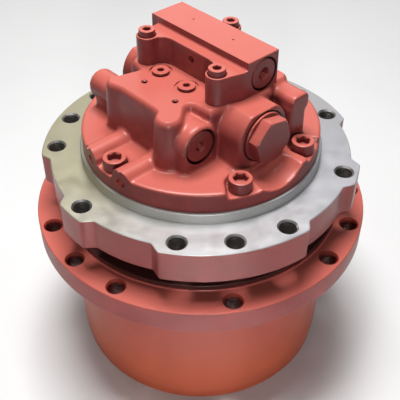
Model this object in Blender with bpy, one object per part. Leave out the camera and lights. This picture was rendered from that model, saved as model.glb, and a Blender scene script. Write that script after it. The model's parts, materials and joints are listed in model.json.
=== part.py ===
"""Excavator final drive: travel motor and two-stage planetary gearbox. Metres, +Z up, base at z = 0."""

import math

import bmesh
import bpy
from mathutils import Matrix, Vector

MM = 0.001
TAU = 2.0 * math.pi
SHARP = math.radians(35.0)

# Clearances, and the sides of round shapes
GAP = 0.3
SEAT_GAP = 0.8
RACE_GAP = 1.0
PIN_GAP = 0.6
BIG_SIDES = 36
MEDIUM_SIDES = 24
SMALL_SIDES = 18
PIN_SIDES = 12
BOLT_SIDES = 12
HOLE_SIDES = 10
SLIM_SIDES = 8

# Gears
MODULE = 3.25
PRESSURE = math.radians(25.0)
SUN_TEETH = 12
PLANET_TEETH = 24
RING_TEETH = SUN_TEETH + 2 * PLANET_TEETH
ADDENDUM = 0.9 * MODULE
DEDENDUM = 1.25 * MODULE
THINNING = 0.25
GEAR_CENTRES = MODULE * (SUN_TEETH + PLANET_TEETH) / 2.0
R_RING_TIP = MODULE * RING_TEETH / 2.0 - ADDENDUM
R_RING_ROOT = MODULE * RING_TEETH / 2.0 + DEDENDUM
FIRST_ANGLES = (0.0, 120.0, 240.0)
SECOND_ANGLES = (60.0, 180.0, 300.0)
R_PLANET_PIN = 12.0
R_PIN_HEAD = R_PLANET_PIN + 3.0
R_DRIVE = 8.0
R_SUN_NECK = R_DRIVE + 6.0

# Widths along the drive's axis, from the end cover up
COVER_RIM = 10.0
COVER_SPIGOT = 5.7
FIRST_WIDTH = 25.5
CARRIER_GAP = 1.0
FIRST_CARRIER_THICK = 8.5
PIN_HEAD_SPACE = 3.0
SECOND_WIDTH = 32.0
SECOND_CARRIER_THICK = 7.0
NUT_SPACE = 16.3
BEARING_WIDTH = 19.4
BEARING_RIB = 6.6
SPROCKET_FLANGE_THICK = 22.6
COLLAR_RISE = 6.0
SKIRT_RISE = 19.0
FRAME_FLANGE_THICK = 30.4
PILOT_RISE = 9.6
DISC_THICK = 17.7
TOWER_RISE = 45.5
LEDGE_THICK = 24.7
BLOCK_THICK = 31.2


def stacked(start, *widths):
    """Heights (low, high) of a piece that is the last of the widths, above start."""
    top = start + sum(widths)
    return top - widths[-1], top


Z_HUB = COVER_RIM + GAP
Z_SPIGOT = COVER_RIM + COVER_SPIGOT
Z_FIRST = stacked(Z_SPIGOT, 2.3, FIRST_WIDTH)
Z_FIRST_CARRIER = stacked(Z_FIRST[1], CARRIER_GAP, FIRST_CARRIER_THICK)
Z_SECOND = stacked(Z_FIRST_CARRIER[1], PIN_HEAD_SPACE, SECOND_WIDTH)
Z_SECOND_CARRIER = stacked(Z_SECOND[1], CARRIER_GAP, SECOND_CARRIER_THICK)
Z_BEARING_1 = stacked(Z_SECOND_CARRIER[1], NUT_SPACE, BEARING_WIDTH)
Z_BEARING_2 = stacked(Z_BEARING_1[1], BEARING_RIB, BEARING_WIDTH)
Z_SPROCKET_TOP = Z_BEARING_2[1] + 4.3
Z_SPROCKET = Z_SPROCKET_TOP - SPROCKET_FLANGE_THICK
Z_COLLAR = Z_SPROCKET_TOP + COLLAR_RISE
Z_FRAME = Z_COLLAR + SKIRT_RISE
Z_FRAME_TOP = Z_FRAME + FRAME_FLANGE_THICK
Z_PILOT = Z_FRAME_TOP + PILOT_RISE
Z_COVER = Z_PILOT + GAP
Z_DISC = Z_COVER + DISC_THICK
Z_PAD = Z_DISC + TOWER_RISE
Z_BLOCK = Z_PAD + GAP
Z_LEDGE = Z_BLOCK + LEDGE_THICK
Z_TOP = Z_BLOCK + BLOCK_THICK

# Walls and steps of the castings, from the ring gear outwards
RING_BACK = 2.4375
HUB_WALL = 20.3
END_COVER_STEP = 0.8
HUB_DRAFT = 1.2
SPROCKET_REACH = 29.5
SPROCKET_EDGE = 11.6
COLLAR_STEP = 25.0
COLLAR_WALL = 15.8
SEAL_WIDTH = 13.9
SKIRT_WALL = 4.8
FRAME_HOLE_STEP = 12.3
WAIST_REACH = 17.0
LOBE_REACH = 25.0
PILOT_STEP = 10.2
DISC_STEP = 2.8
SCREW_EDGE = 11.5
R_HUB_BORE = R_RING_ROOT + RING_BACK
R_HUB_LOW = R_HUB_BORE + HUB_WALL
R_END_COVER = R_HUB_LOW - END_COVER_STEP
R_HUB_HIGH = R_HUB_LOW + HUB_DRAFT
R_SPROCKET = R_HUB_HIGH + SPROCKET_REACH
R_SPROCKET_HOLES = R_SPROCKET - SPROCKET_EDGE
R_COLLAR = R_SPROCKET - COLLAR_STEP
R_SEAL_OUTER = R_COLLAR - COLLAR_WALL
R_SEAL_INNER = R_SEAL_OUTER - SEAL_WIDTH
R_SKIRT = R_SEAL_OUTER + SKIRT_WALL
R_FRAME_HOLES = R_SKIRT + FRAME_HOLE_STEP
R_WAIST = R_SKIRT + WAIST_REACH
R_LOBE = R_SKIRT + LOBE_REACH
R_PILOT = R_SKIRT - PILOT_STEP
R_DISC = R_PILOT - DISC_STEP
R_COVER_SCREWS = R_DISC - SCREW_EDGE

# Tapped holes of the two flanges
R_M16 = 7.35
HOLE_STEP = 20.0
SPROCKET_TURN = 100.8
FRAME_TURN = 41.95
SPROCKET_TRIPLETS = tuple(SPROCKET_TURN + third for third in (0.0, 120.0, 240.0))
SPROCKET_SINGLES = tuple(middle + 60.0 for middle in SPROCKET_TRIPLETS)
FRAME_TRIPLETS = tuple(FRAME_TURN + third for third in (0.0, 120.0, 240.0))
FRAME_SINGLES = tuple(middle + 60.0 for middle in FRAME_TRIPLETS)

# Bearings, each a stack of inner ring, rollers and outer ring on the spindle
R_BEARING_SEAT = 75.0
INNER_RING = 5.5
RACE_RISE = 3.0
ROLLER_THICK = 5.0
OUTER_RING = 6.0
R_RACE = R_BEARING_SEAT + INNER_RING
R_OUTER_RACE = R_RACE + ROLLER_THICK + 2.0 * RACE_GAP
R_BEARING_OUTER = R_OUTER_RACE + OUTER_RING
R_NUT_SEAT = R_BEARING_SEAT - 3.0

# Motor and brake
R_SHAFT = 15.0
R_PISTON = 7.2
PISTON_COUNT = 9
SHAFT_WALL = 8.8
BLOCK_WALL = 9.8
SHAFT_BEARING = 15.2
BRAKE_RING = 22.5
R_PISTON_CIRCLE = R_SHAFT + SHAFT_WALL + R_PISTON
R_BLOCK = R_PISTON_CIRCLE + R_PISTON + BLOCK_WALL
R_BRAKE_BORE = R_BLOCK + BRAKE_RING
R_SHAFT_BEARING = R_SHAFT + SHAFT_BEARING
SWASH_TILT = math.radians(7.0)
Z_CHAMBER = Z_PILOT - 87.5
Z_BRAKE = Z_PILOT - 47.2
Z_SWASH = Z_PILOT - 69.5

# The rear cover's own directions: a runs along its bores, b across them
COVER_TURN = -47.5
PAD_LEFT = -42.0
BORE_1 = (-48.4, Z_DISC + 21.4)
BORE_2 = (-1.0, Z_DISC + 22.0)
R_BOSS_1 = 13.0
BOSS_1_LEFT = 25.0 - R_DISC
R_BOSS_2 = 27.0
SPOOL_END = R_DISC - 30.0
SPOOL_SEAT = SPOOL_END - 15.0
SPOOL_REACH = SPOOL_SEAT - 9.0
EAR = (42.4, Z_DISC + 30.5)
R_EAR = 11.3
KNOB = (30.0, -62.0)
R_KNOB = 11.5
R_SELECTOR = 12.2
R_RIDGE = R_SELECTOR + 6.3
COVER_SCREW_ANGLES = (-91.0, -23.0, 23.5, 88.0, 157.0, 196.0)
BLOCK_SCREWS = ((-48.2, -18.6), (39.0, -19.0), (-12.0, 45.5))
GAUGE_PLUGS = ((-26.5, -22.5), (6.9, -22.7))

COVER = Matrix.Rotation(math.radians(COVER_TURN), 4, "Z")
WORLD = Matrix.Identity(4)
UP = Vector((0.0, 0.0, 1.0))
OUT_A = Vector((1.0, 0.0, 0.0))
OUT_B = Vector((0.0, 1.0, 0.0))


def clear_scene():
    for thing in list(bpy.data.objects):
        bpy.data.objects.remove(thing, do_unlink=True)


def facing(origin, out, side=UP):
    """Placement in the cover's frame that turns a lathe axis from +Z to the direction out."""
    across = out.cross(side)
    turn = Matrix((side, across, out)).transposed().to_4x4()
    return COVER @ Matrix.Translation(Vector(origin)) @ turn


def moved(x, y, z=0.0, base=WORLD):
    return base @ Matrix.Translation(Vector((x, y, z)))


def polar(radius, degrees, base=WORLD):
    angle = math.radians(degrees)
    return moved(radius * math.cos(angle), radius * math.sin(angle), 0.0, base)


def add_mesh(name, points, faces, places=(WORLD,)):
    """One object from points in millimetres: set at its place, or one body for each of several places."""
    shape = bmesh.new()
    alone = len(places) == 1
    for place in places:
        corners = [shape.verts.new((Vector(point) if alone else place @ Vector(point)) * MM) for point in points]
        for face in faces:
            shape.faces.new([corners[index] for index in face])
    bmesh.ops.recalc_face_normals(shape, faces=shape.faces)
    mesh = bpy.data.meshes.new(name)
    shape.to_mesh(mesh)
    shape.free()
    mesh.shade_smooth()
    mesh.set_sharp_from_angle(angle=SHARP)
    thing = bpy.data.objects.new(name, mesh)
    if alone:
        turn = places[0].to_3x3().to_4x4()
        thing.matrix_world = Matrix.Translation(places[0].translation * MM) @ turn
    bpy.context.scene.collection.objects.link(thing)
    return thing


def circle(radius, count, height=0.0, centre=(0.0, 0.0)):
    points = []
    for index in range(count):
        angle = TAU * index / count
        points.append((centre[0] + radius * math.cos(angle), centre[1] + radius * math.sin(angle), height))
    return points


def hexagon(flats, count, height, turn=0.0, corners=math.inf):
    """A hexagon as count points at even angles, its corners cut back to the radius corners."""
    points = []
    for index in range(count):
        angle = TAU * index / count
        off = angle % (TAU / 6.0) - TAU / 12.0
        radius = min(flats / 2.0 / math.cos(off), corners)
        points.append((radius * math.cos(angle + turn), radius * math.sin(angle + turn), height))
    return points


def loft(name, loops, places=(WORLD,)):
    """Skin through loops of equal point counts, closed by a face at each end."""
    points = [point for loop in loops for point in loop]
    count = len(loops[0])
    faces = [tuple(range(count)), tuple(range(len(points) - count, len(points)))]
    for level in range(len(loops) - 1):
        low = level * count
        for index in range(count):
            after = (index + 1) % count
            faces.append((low + index, low + after, low + count + after, low + count + index))
    return add_mesh(name, points, faces, places)


def turned(name, profile, count, places=(WORLD,)):
    """Lathe shape from a closed profile of (radius, height), on its axis where the radius is 0."""
    points = []
    rings = []
    for radius, height in profile:
        start = len(points)
        if radius == 0.0:
            rings.append([start] * count)
            points.append((0.0, 0.0, height))
        else:
            rings.append(list(range(start, start + count)))
            points.extend(circle(radius, count, height))
    faces = []
    for here, following in zip(rings, rings[1:] + rings[:1]):
        for index in range(count):
            after = (index + 1) % count
            corners = [here[index], here[after], following[after], following[index]]
            face = [corner for place, corner in enumerate(corners) if corner not in corners[:place]]
            if len(face) > 2:
                faces.append(face)
    return add_mesh(name, points, faces, places)


def disc(name, radius, low, high, count, places=(WORLD,)):
    return turned(name, [(0.0, low), (radius, low), (radius, high), (0.0, high)], count, places)


def ring(name, inner, outer, low, high, count):
    return turned(name, [(inner, low), (outer, low), (outer, high), (inner, high)], count)


def outline_box(low_a, low_b, high_a, high_b):
    return [(low_a, low_b), (high_a, low_b), (high_a, high_b), (low_a, high_b)]


def arc(centre, radius, start, end, steps):
    points = []
    for step in range(steps + 1):
        angle = math.radians(start + (end - start) * step / steps)
        points.append((centre[0] + radius * math.cos(angle), centre[1] + radius * math.sin(angle)))
    return points


def grown(outline, distance):
    """A counterclockwise outline moved outwards by distance, corner by corner."""
    result = []
    count = len(outline)
    for index in range(count):
        here = Vector(outline[index])
        into = (here - Vector(outline[index - 1])).normalized()
        away = (Vector(outline[(index + 1) % count]) - here).normalized()
        first = Vector((into.y, -into.x))
        second = Vector((away.y, -away.x))
        middle = first + second
        result.append(tuple(here + middle * (distance / max(middle.dot(first), 0.4))))
    return result


def slab(name, outline, levels, places=(WORLD,)):
    """A stack of the same outline; each level is (height, how far the outline is moved outwards)."""
    loops = []
    for height, distance in levels:
        loops.append([(x, y, height) for x, y in grown(outline, distance)])
    return loft(name, loops, places)


def use(target, operation, tool):
    modifier = target.modifiers.new(tool.name, "BOOLEAN")
    modifier.operation = operation
    modifier.solver = "EXACT"
    modifier.object = tool
    tool.hide_render = True
    tool.display_type = "WIRE"


def join(target, *tools):
    for tool in tools:
        use(target, "UNION", tool)


def cut(target, *tools):
    for tool in tools:
        use(target, "DIFFERENCE", tool)


def involute(angle):
    return math.tan(angle) - angle


def tooth_outline(teeth, outer, inner, width, pitch_point, tooth_at=0.0):
    """Involute gear outline; width is the tooth's thickness on the pitch circle."""
    pitch = MODULE * teeth / 2.0
    base = pitch * math.cos(PRESSURE)
    radii = [inner, pitch, outer] if pitch_point else [inner, outer]
    sides = []
    for radius in radii:
        flank = math.acos(min(1.0, base / max(radius, base)))
        sides.append((radius, width / (2.0 * pitch) + involute(PRESSURE) - involute(flank)))
    points = []
    for tooth in range(teeth):
        middle = tooth_at + TAU * tooth / teeth
        path = [(radius, middle - half) for radius, half in sides]
        path += [(radius, middle + half) for radius, half in reversed(sides)]
        points += [(radius * math.cos(angle), radius * math.sin(angle)) for radius, angle in path]
    return points


def gear(name, teeth, low, high, pitch_point, tooth_at=0.0, places=(WORLD,)):
    pitch = MODULE * teeth / 2.0
    width = math.pi * MODULE / 2.0 - THINNING
    outline = tooth_outline(teeth, pitch + ADDENDUM, pitch - DEDENDUM, width, pitch_point, tooth_at)
    loops = [[(x, y, height) for x, y in outline] for height in (low, high)]
    return loft(name, loops, places)


def flange_angles(triplets, singles):
    angles = list(singles)
    for middle in triplets:
        angles += [middle - HOLE_STEP, middle, middle + HOLE_STEP]
    return angles


def socket_screw(name, place, shank, length, head, height, flats, depth):
    """Hexagon socket screw: the head stands on z = 0 of its place and the shank runs down."""
    bevel = 0.08 * head
    loops = [
        circle(shank, BOLT_SIDES, -length),
        circle(shank, BOLT_SIDES, 0.0),
        circle(head, BOLT_SIDES, 0.0),
        circle(head, BOLT_SIDES, height - bevel),
        circle(head - bevel, BOLT_SIDES, height),
        hexagon(flats, BOLT_SIDES, height),
        hexagon(flats, BOLT_SIDES, height - depth),
    ]
    return loft(name, loops, (place,))


def socket_plug(name, place, radius, height, flats, depth, flange=0.0, flange_height=1.8):
    """Hexagon socket plug, from z = 0 up to its outer face."""
    loops = [circle(radius, BOLT_SIDES, 0.0)]
    if flange:
        loops += [circle(radius, BOLT_SIDES, height - flange_height), circle(flange, BOLT_SIDES, height - flange_height)]
        loops += [circle(flange, BOLT_SIDES, height - 0.6), circle(flange - 0.6, BOLT_SIDES, height)]
    else:
        loops += [circle(radius, BOLT_SIDES, height - 0.8), circle(radius - 0.8, BOLT_SIDES, height)]
    loops += [hexagon(flats, BOLT_SIDES, height), hexagon(flats, BOLT_SIDES, height - depth)]
    return loft(name, loops, (place,))


# Fixed gearbox body

def lobed_outline():
    """The frame flange: a round waist with wide lobes on three screws and narrow ones on single screws."""
    spans = [(middle, 25.0, 27.8, 7) for middle in FRAME_TRIPLETS]
    spans += [(middle, 6.0, 9.0, 3) for middle in FRAME_SINGLES]
    spans.sort()
    points = []
    for place, (middle, half, foot, steps) in enumerate(spans):
        points += arc((0.0, 0.0), R_LOBE, middle - half, middle + half, steps)
        following = spans[(place + 1) % len(spans)]
        end = following[0] - following[2] + (360.0 if place + 1 == len(spans) else 0.0)
        points += arc((0.0, 0.0), R_WAIST, middle + foot, end, 3)
    return points


def make_spindle():
    spindle = turned("spindle", [
        (0.0, Z_SECOND_CARRIER[1] + GAP),
        (R_NUT_SEAT, Z_SECOND_CARRIER[1] + GAP),
        (R_NUT_SEAT, Z_BEARING_1[0] - GAP),
        (R_BEARING_SEAT - SEAT_GAP, Z_BEARING_1[0] - GAP),
        (R_BEARING_SEAT - SEAT_GAP, Z_BEARING_2[1] + GAP),
        (R_RACE + RACE_RISE + 0.5, Z_BEARING_2[1] + GAP),
        (R_RACE + RACE_RISE + 0.5, Z_COLLAR - 5.0),
        (R_SEAL_INNER - 1.8, Z_COLLAR - 3.0),
        (R_SEAL_INNER - 1.8, Z_COLLAR + 13.0),
        (R_SEAL_OUTER + SEAT_GAP, Z_COLLAR + 13.0),
        (R_SEAL_OUTER + SEAT_GAP, Z_COLLAR + 2.0),
        (R_SKIRT, Z_COLLAR + 2.0),
        (R_SKIRT, Z_FRAME + 1.0),
        (R_PILOT, Z_FRAME + 1.0),
        (R_PILOT, Z_PILOT - 1.0),
        (R_PILOT - 1.0, Z_PILOT),
        (0.0, Z_PILOT),
    ], BIG_SIDES)
    levels = [(Z_FRAME, 0.0), (Z_FRAME_TOP - 1.0, 0.0), (Z_FRAME_TOP, -1.0)]
    flange = slab("tool_frame_flange", lobed_outline(), levels)
    bore = turned("tool_spindle_bore", [
        (0.0, Z_SECOND_CARRIER[1] - 6.0),
        (R_SHAFT + 19.0, Z_SECOND_CARRIER[1] - 6.0),
        (R_SHAFT + 19.0, Z_SECOND_CARRIER[1] + 8.0),
        (R_SHAFT + 7.0, Z_SECOND_CARRIER[1] + 8.0),
        (R_SHAFT + 7.0, Z_CHAMBER - 19.8),
        (R_SHAFT_BEARING + SEAT_GAP, Z_CHAMBER - 19.8),
        (R_SHAFT_BEARING + SEAT_GAP, Z_CHAMBER),
        (R_BLOCK + 10.0, Z_CHAMBER),
        (R_BLOCK + 10.0, Z_BRAKE),
        (R_BRAKE_BORE, Z_BRAKE),
        (R_BRAKE_BORE, Z_PILOT + 10.0),
        (0.0, Z_PILOT + 10.0),
    ], MEDIUM_SIDES)
    places = [polar(R_FRAME_HOLES, angle) for angle in flange_angles(FRAME_TRIPLETS, FRAME_SINGLES)]
    holes = disc("tool_frame_holes", R_M16, Z_FRAME - 5.0, Z_FRAME_TOP + 5.0, HOLE_SIDES, places)
    places = [polar(R_COVER_SCREWS, angle, COVER) for angle in COVER_SCREW_ANGLES]
    taps = disc("tool_cover_taps", 6.9, Z_PILOT - 26.0, Z_PILOT + 5.0, SLIM_SIDES, places)
    join(spindle, flange)
    cut(spindle, bore, holes, taps)


def make_fixed_bearing_parts():
    space = R_OUTER_RACE - R_RACE
    short = 1.5
    for name, low, high, rise in (("1", *Z_BEARING_1, RACE_RISE), ("2", *Z_BEARING_2, -RACE_RISE)):
        start = R_RACE + max(0.0, -rise)
        end = start + rise
        turned("main_bearing_inner_" + name, [
            (R_BEARING_SEAT, low),
            (start, low),
            (end, high),
            (R_BEARING_SEAT, high),
        ], MEDIUM_SIDES)
        turned("main_bearing_outer_" + name, [
            (start + space, low),
            (R_BEARING_OUTER, low),
            (R_BEARING_OUTER, high),
            (end + space, high),
        ], MEDIUM_SIDES)
        taper = short * rise / BEARING_WIDTH
        radii = (start + taper + RACE_GAP, end - taper + RACE_GAP)
        roller_cage("roller_set_" + name, low + short, high - short, *radii)
    nut = (Z_SECOND_CARRIER[1] + 2.0, Z_BEARING_1[0] - 2.0 * GAP)
    ring("bearing_nut", R_NUT_SEAT + SEAT_GAP, R_RACE + 7.5, *nut, MEDIUM_SIDES)


def roller_cage(name, low, high, start, end):
    """Rollers and cage as one closed ring that is thick at each roller and thin between them."""
    points = []
    faces = []
    for index in range(MEDIUM_SIDES):
        angle = TAU * index / MEDIUM_SIDES
        inset = 0.0 if index % 2 else 1.2
        radii = [start + inset, start + ROLLER_THICK - inset, end + ROLLER_THICK - inset, end + inset]
        heights = [low, low, high, high]
        points += [(r * math.cos(angle), r * math.sin(angle), z) for r, z in zip(radii, heights)]
        for side in range(4):
            here, there = 4 * index, 4 * ((index + 1) % MEDIUM_SIDES)
            after = (side + 1) % 4
            faces.append((here + side, there + side, there + after, here + after))
    add_mesh(name, points, faces)


def make_seals():
    inner, outer = R_SEAL_INNER, R_SEAL_OUTER
    lip = outer - 8.0
    turned("seal_ring_rotating", [
        (inner, Z_COLLAR - 7.4),
        (outer, Z_COLLAR - 7.4),
        (outer, Z_COLLAR - 1.0),
        (lip, Z_COLLAR + 1.6),
        (inner, Z_COLLAR + 1.6),
    ], MEDIUM_SIDES)
    turned("seal_ring_fixed", [
        (inner, Z_COLLAR + 2.0),
        (lip, Z_COLLAR + 2.0),
        (outer, Z_COLLAR + 4.6),
        (outer, Z_COLLAR + 12.6),
        (inner, Z_COLLAR + 12.6),
    ], MEDIUM_SIDES)


# Rotating hub

def make_hub():
    seal_seat = Z_COLLAR - 8.0
    hub = turned("hub", [
        (R_HUB_BORE, Z_HUB),
        (R_HUB_LOW, Z_HUB),
        (R_HUB_HIGH - 0.6, Z_SPROCKET - 10.0),
        (R_HUB_HIGH + 1.5, Z_SPROCKET - 4.0),
        (R_HUB_HIGH + 6.0, Z_SPROCKET),
        (R_SPROCKET - 1.5, Z_SPROCKET),
        (R_SPROCKET, Z_SPROCKET + 1.5),
        (R_SPROCKET, Z_SPROCKET_TOP - 1.5),
        (R_SPROCKET - 1.5, Z_SPROCKET_TOP),
        (R_COLLAR, Z_SPROCKET_TOP),
        (R_COLLAR, Z_COLLAR),
        (R_SEAL_OUTER + SEAT_GAP, Z_COLLAR),
        (R_SEAL_OUTER + SEAT_GAP, seal_seat),
        (R_BEARING_OUTER + SEAT_GAP, seal_seat),
        (R_BEARING_OUTER + SEAT_GAP, Z_BEARING_2[0] - GAP),
        (R_OUTER_RACE + 1.5, Z_BEARING_2[0] - GAP),
        (R_OUTER_RACE + 1.5, Z_BEARING_1[1] + GAP),
        (R_BEARING_OUTER + SEAT_GAP, Z_BEARING_1[1] + GAP),
        (R_BEARING_OUTER + SEAT_GAP, Z_BEARING_1[0] - 4.3),
        (R_HUB_BORE - 1.5, Z_SECOND[1] + 2.0),
        (R_RING_TIP, Z_SECOND[1] + 2.0),
        (R_RING_TIP, Z_SPIGOT + GAP),
        (R_HUB_BORE, Z_SPIGOT + GAP),
    ], BIG_SIDES)
    pitch = MODULE * RING_TEETH / 2.0
    width = math.pi * MODULE / 2.0 + THINNING
    outline = tooth_outline(RING_TEETH, pitch + DEDENDUM, R_RING_TIP - 1.5, width, False)
    ends = (Z_SPIGOT - 2.7, Z_SECOND[1] + 3.0)
    spaces = loft("tool_ring_gear", [[(x, y, z) for x, y in outline] for z in ends])
    places = [polar(R_SPROCKET_HOLES, angle) for angle in flange_angles(SPROCKET_TRIPLETS, SPROCKET_SINGLES)]
    holes = disc("tool_sprocket_holes", R_M16, Z_SPROCKET - 5.0, Z_SPROCKET_TOP + 5.0, HOLE_SIDES, places)
    cut(hub, spaces, holes)


def make_end_cover():
    cover = turned("end_cover", [
        (0.0, 0.0),
        (R_END_COVER - 3.0, 0.0),
        (R_END_COVER, 3.0),
        (R_END_COVER, COVER_RIM - 1.5),
        (R_END_COVER - 1.5, COVER_RIM),
        (R_HUB_BORE - GAP, COVER_RIM),
        (R_HUB_BORE - GAP, Z_SPIGOT),
        (0.0, Z_SPIGOT),
    ], BIG_SIDES)
    places = [polar(R_HUB_BORE - 28.0, angle) for angle in (90.0, 210.0)]
    plug = 10.0
    cut(cover, disc("tool_drain_holes", plug + GAP, -5.0, Z_SPIGOT + 5.0, PIN_SIDES, places))
    flip = Matrix.Rotation(math.pi, 4, "X")
    for name, place in zip("12", places):
        spot = place @ Matrix.Translation(Vector((0.0, 0.0, COVER_RIM))) @ flip
        socket_plug("drain_plug_" + name, spot, plug, COVER_RIM - 0.6, 10.0, 5.0)


# Gearbox internals

def make_stages():
    for name, angle in zip("123", SECOND_ANGLES):
        spot = polar(GEAR_CENTRES, angle) @ Matrix.Rotation(math.radians(angle), 4, "Z")
        planet("second_planet_" + name, spot, *Z_SECOND)
        planet_pin("second_planet_pin_" + name, spot, Z_SECOND[0] - 2.0, Z_SECOND_CARRIER[1] - GAP)
    for name, angle in zip("123", FIRST_ANGLES):
        spot = polar(GEAR_CENTRES, angle) @ Matrix.Rotation(math.radians(angle), 4, "Z")
        planet("first_planet_" + name, spot, *Z_FIRST)
        planet_pin("first_planet_pin_" + name, spot, Z_FIRST[0] - 2.0, Z_FIRST_CARRIER[1] - GAP)
    carrier("second_carrier", Z_SECOND_CARRIER, SECOND_ANGLES, 25.0)
    carrier("first_carrier", Z_FIRST_CARRIER, FIRST_ANGLES, R_SUN_NECK + GAP)
    half_step = math.pi / SUN_TEETH
    sun = gear("second_sun", SUN_TEETH, Z_FIRST_CARRIER[1] + 1.0, Z_SECOND[1], True, half_step)
    neck = disc("tool_second_sun_neck", R_SUN_NECK, Z_FIRST_CARRIER[0] + GAP, Z_SECOND[0] + 4.0, PIN_SIDES)
    join(sun, neck)
    cut(sun, disc("tool_second_sun_bore", R_DRIVE + 1.0, Z_FIRST[0], Z_SECOND[1] + 10.0, PIN_SIDES))
    drive = gear("drive_gear", SUN_TEETH, *Z_FIRST, True, half_step)
    join(drive, disc("tool_drive_shaft", R_DRIVE, Z_FIRST[1] - 10.0, Z_SECOND_CARRIER[1] + 4.0, PIN_SIDES))


def planet(name, spot, low, high):
    part = gear(name, PLANET_TEETH, low, high, False, 0.0, (spot,))
    cut(part, disc("tool_bore_" + name, R_PLANET_PIN + PIN_GAP, low - 5.0, high + 5.0, PIN_SIDES, (spot,)))


def planet_pin(name, spot, low, high):
    turned(name, [
        (0.0, low),
        (R_PIN_HEAD, low),
        (R_PIN_HEAD, low + 1.6),
        (R_PLANET_PIN, low + 1.6),
        (R_PLANET_PIN, high),
        (0.0, high),
    ], PIN_SIDES, (spot,))


def carrier(name, heights, angles, bore):
    """Carrier plate: three round arms joined by shallow hollows between the pins."""
    points = []
    for middle in angles:
        points += arc((0.0, 0.0), GEAR_CENTRES + 25.5, middle - 32.0, middle + 32.0, 8)
        points += arc((0.0, 0.0), GEAR_CENTRES + 11.5, middle + 42.0, middle + 78.0, 4)
    plate = slab(name, points, [(heights[0], 0.0), (heights[1], 0.0)])
    places = [polar(GEAR_CENTRES, angle) @ Matrix.Rotation(math.radians(angle), 4, "Z") for angle in angles]
    holes = disc("tool_holes_" + name, R_PLANET_PIN + GAP, heights[0] - 5.0, heights[1] + 5.0, PIN_SIDES, places)
    cut(plate, disc("tool_bore_" + name, bore, heights[0] - 5.0, heights[1] + 5.0, PIN_SIDES), holes)


# Hydraulic motor and brake

def make_motor():
    socket_end = Z_SECOND_CARRIER[1] + 5.0
    shaft = disc("motor_shaft", R_SHAFT, socket_end - 10.0, Z_PILOT - 1.0, SMALL_SIDES)
    cut(shaft, disc("tool_shaft_socket", R_DRIVE + GAP, socket_end - 20.0, socket_end, PIN_SIDES))
    ring("shaft_bearing", R_SHAFT + GAP, R_SHAFT_BEARING, Z_CHAMBER - 19.5, Z_CHAMBER - 1.5, SMALL_SIDES)
    swash = ring("swash_plate", R_SHAFT + 5.0, R_BLOCK - 2.0, Z_CHAMBER + GAP, Z_SWASH, SMALL_SIDES)
    for corner in swash.data.vertices:
        if corner.co.z > MM * (Z_SWASH - 1.0):
            corner.co.z += math.tan(SWASH_TILT) * corner.co.x
    block = ring("cylinder_block", R_SHAFT + GAP, R_BLOCK, Z_PILOT - 52.0, Z_PILOT - 5.5, SMALL_SIDES)
    places = [polar(R_PISTON_CIRCLE, 360.0 * index / PISTON_COUNT) for index in range(PISTON_COUNT)]
    bores = (Z_PILOT - 62.0, Z_PILOT - 15.0)
    cut(block, disc("tool_piston_bores", R_PISTON + GAP, *bores, SLIM_SIDES, places))
    retainer = (R_PISTON_CIRCLE - 12.0, R_PISTON_CIRCLE + 10.0)
    pistons = ring("piston_set", *retainer, Z_SWASH + 8.5, Z_SWASH + 11.5, SMALL_SIDES)
    join(pistons, disc("tool_pistons", R_PISTON, Z_SWASH + 6.5, Z_PILOT - 22.0, SLIM_SIDES, places))
    ring("valve_plate", R_SHAFT + GAP, R_BLOCK - 2.0, Z_PILOT - 5.0, Z_PILOT - 0.2, SMALL_SIDES)
    slide = R_BRAKE_BORE - 0.4
    ring("friction_disc", R_BLOCK + SEAT_GAP, R_BRAKE_BORE - 2.5, Z_BRAKE + 0.4, Z_BRAKE + 6.8, SMALL_SIDES)
    ring("separator_plate", R_BLOCK + 4.0, slide, Z_BRAKE + 7.2, Z_BRAKE + 14.0, MEDIUM_SIDES)
    ring("brake_piston", R_BLOCK + 8.0, slide, Z_BRAKE + 14.5, Z_PILOT - 8.2, MEDIUM_SIDES)
    turned("brake_spring", [
        (R_BLOCK + 9.5, Z_PILOT - 2.8),
        (R_BRAKE_BORE - 1.0, Z_PILOT - 5.8),
        (R_BRAKE_BORE - 1.0, Z_PILOT - 3.6),
        (R_BLOCK + 9.5, Z_PILOT - 0.6),
    ], SMALL_SIDES)


# Rear cover

def tower_outline():
    points = arc((PAD_LEFT + 1.5, -58.5), 9.0, 150.0, 270.0, 4)
    points += arc(KNOB, R_KNOB, -165.0, 40.0, 8)
    points += [(27.0, -37.0), (46.0, -34.5), (50.0, -30.0), (58.0, -20.0)]
    points += [(58.0, 26.0), (52.0, 34.0)]
    points += arc((44.0, 48.0), 8.0, 10.0, 90.0, 3)
    points += arc((-34.0, 48.0), 8.0, 90.0, 135.0, 2)
    points += [(-62.0, 30.0), (-64.0, -20.0), (-58.0, -30.0), (PAD_LEFT, -34.0)]
    return points


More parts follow.
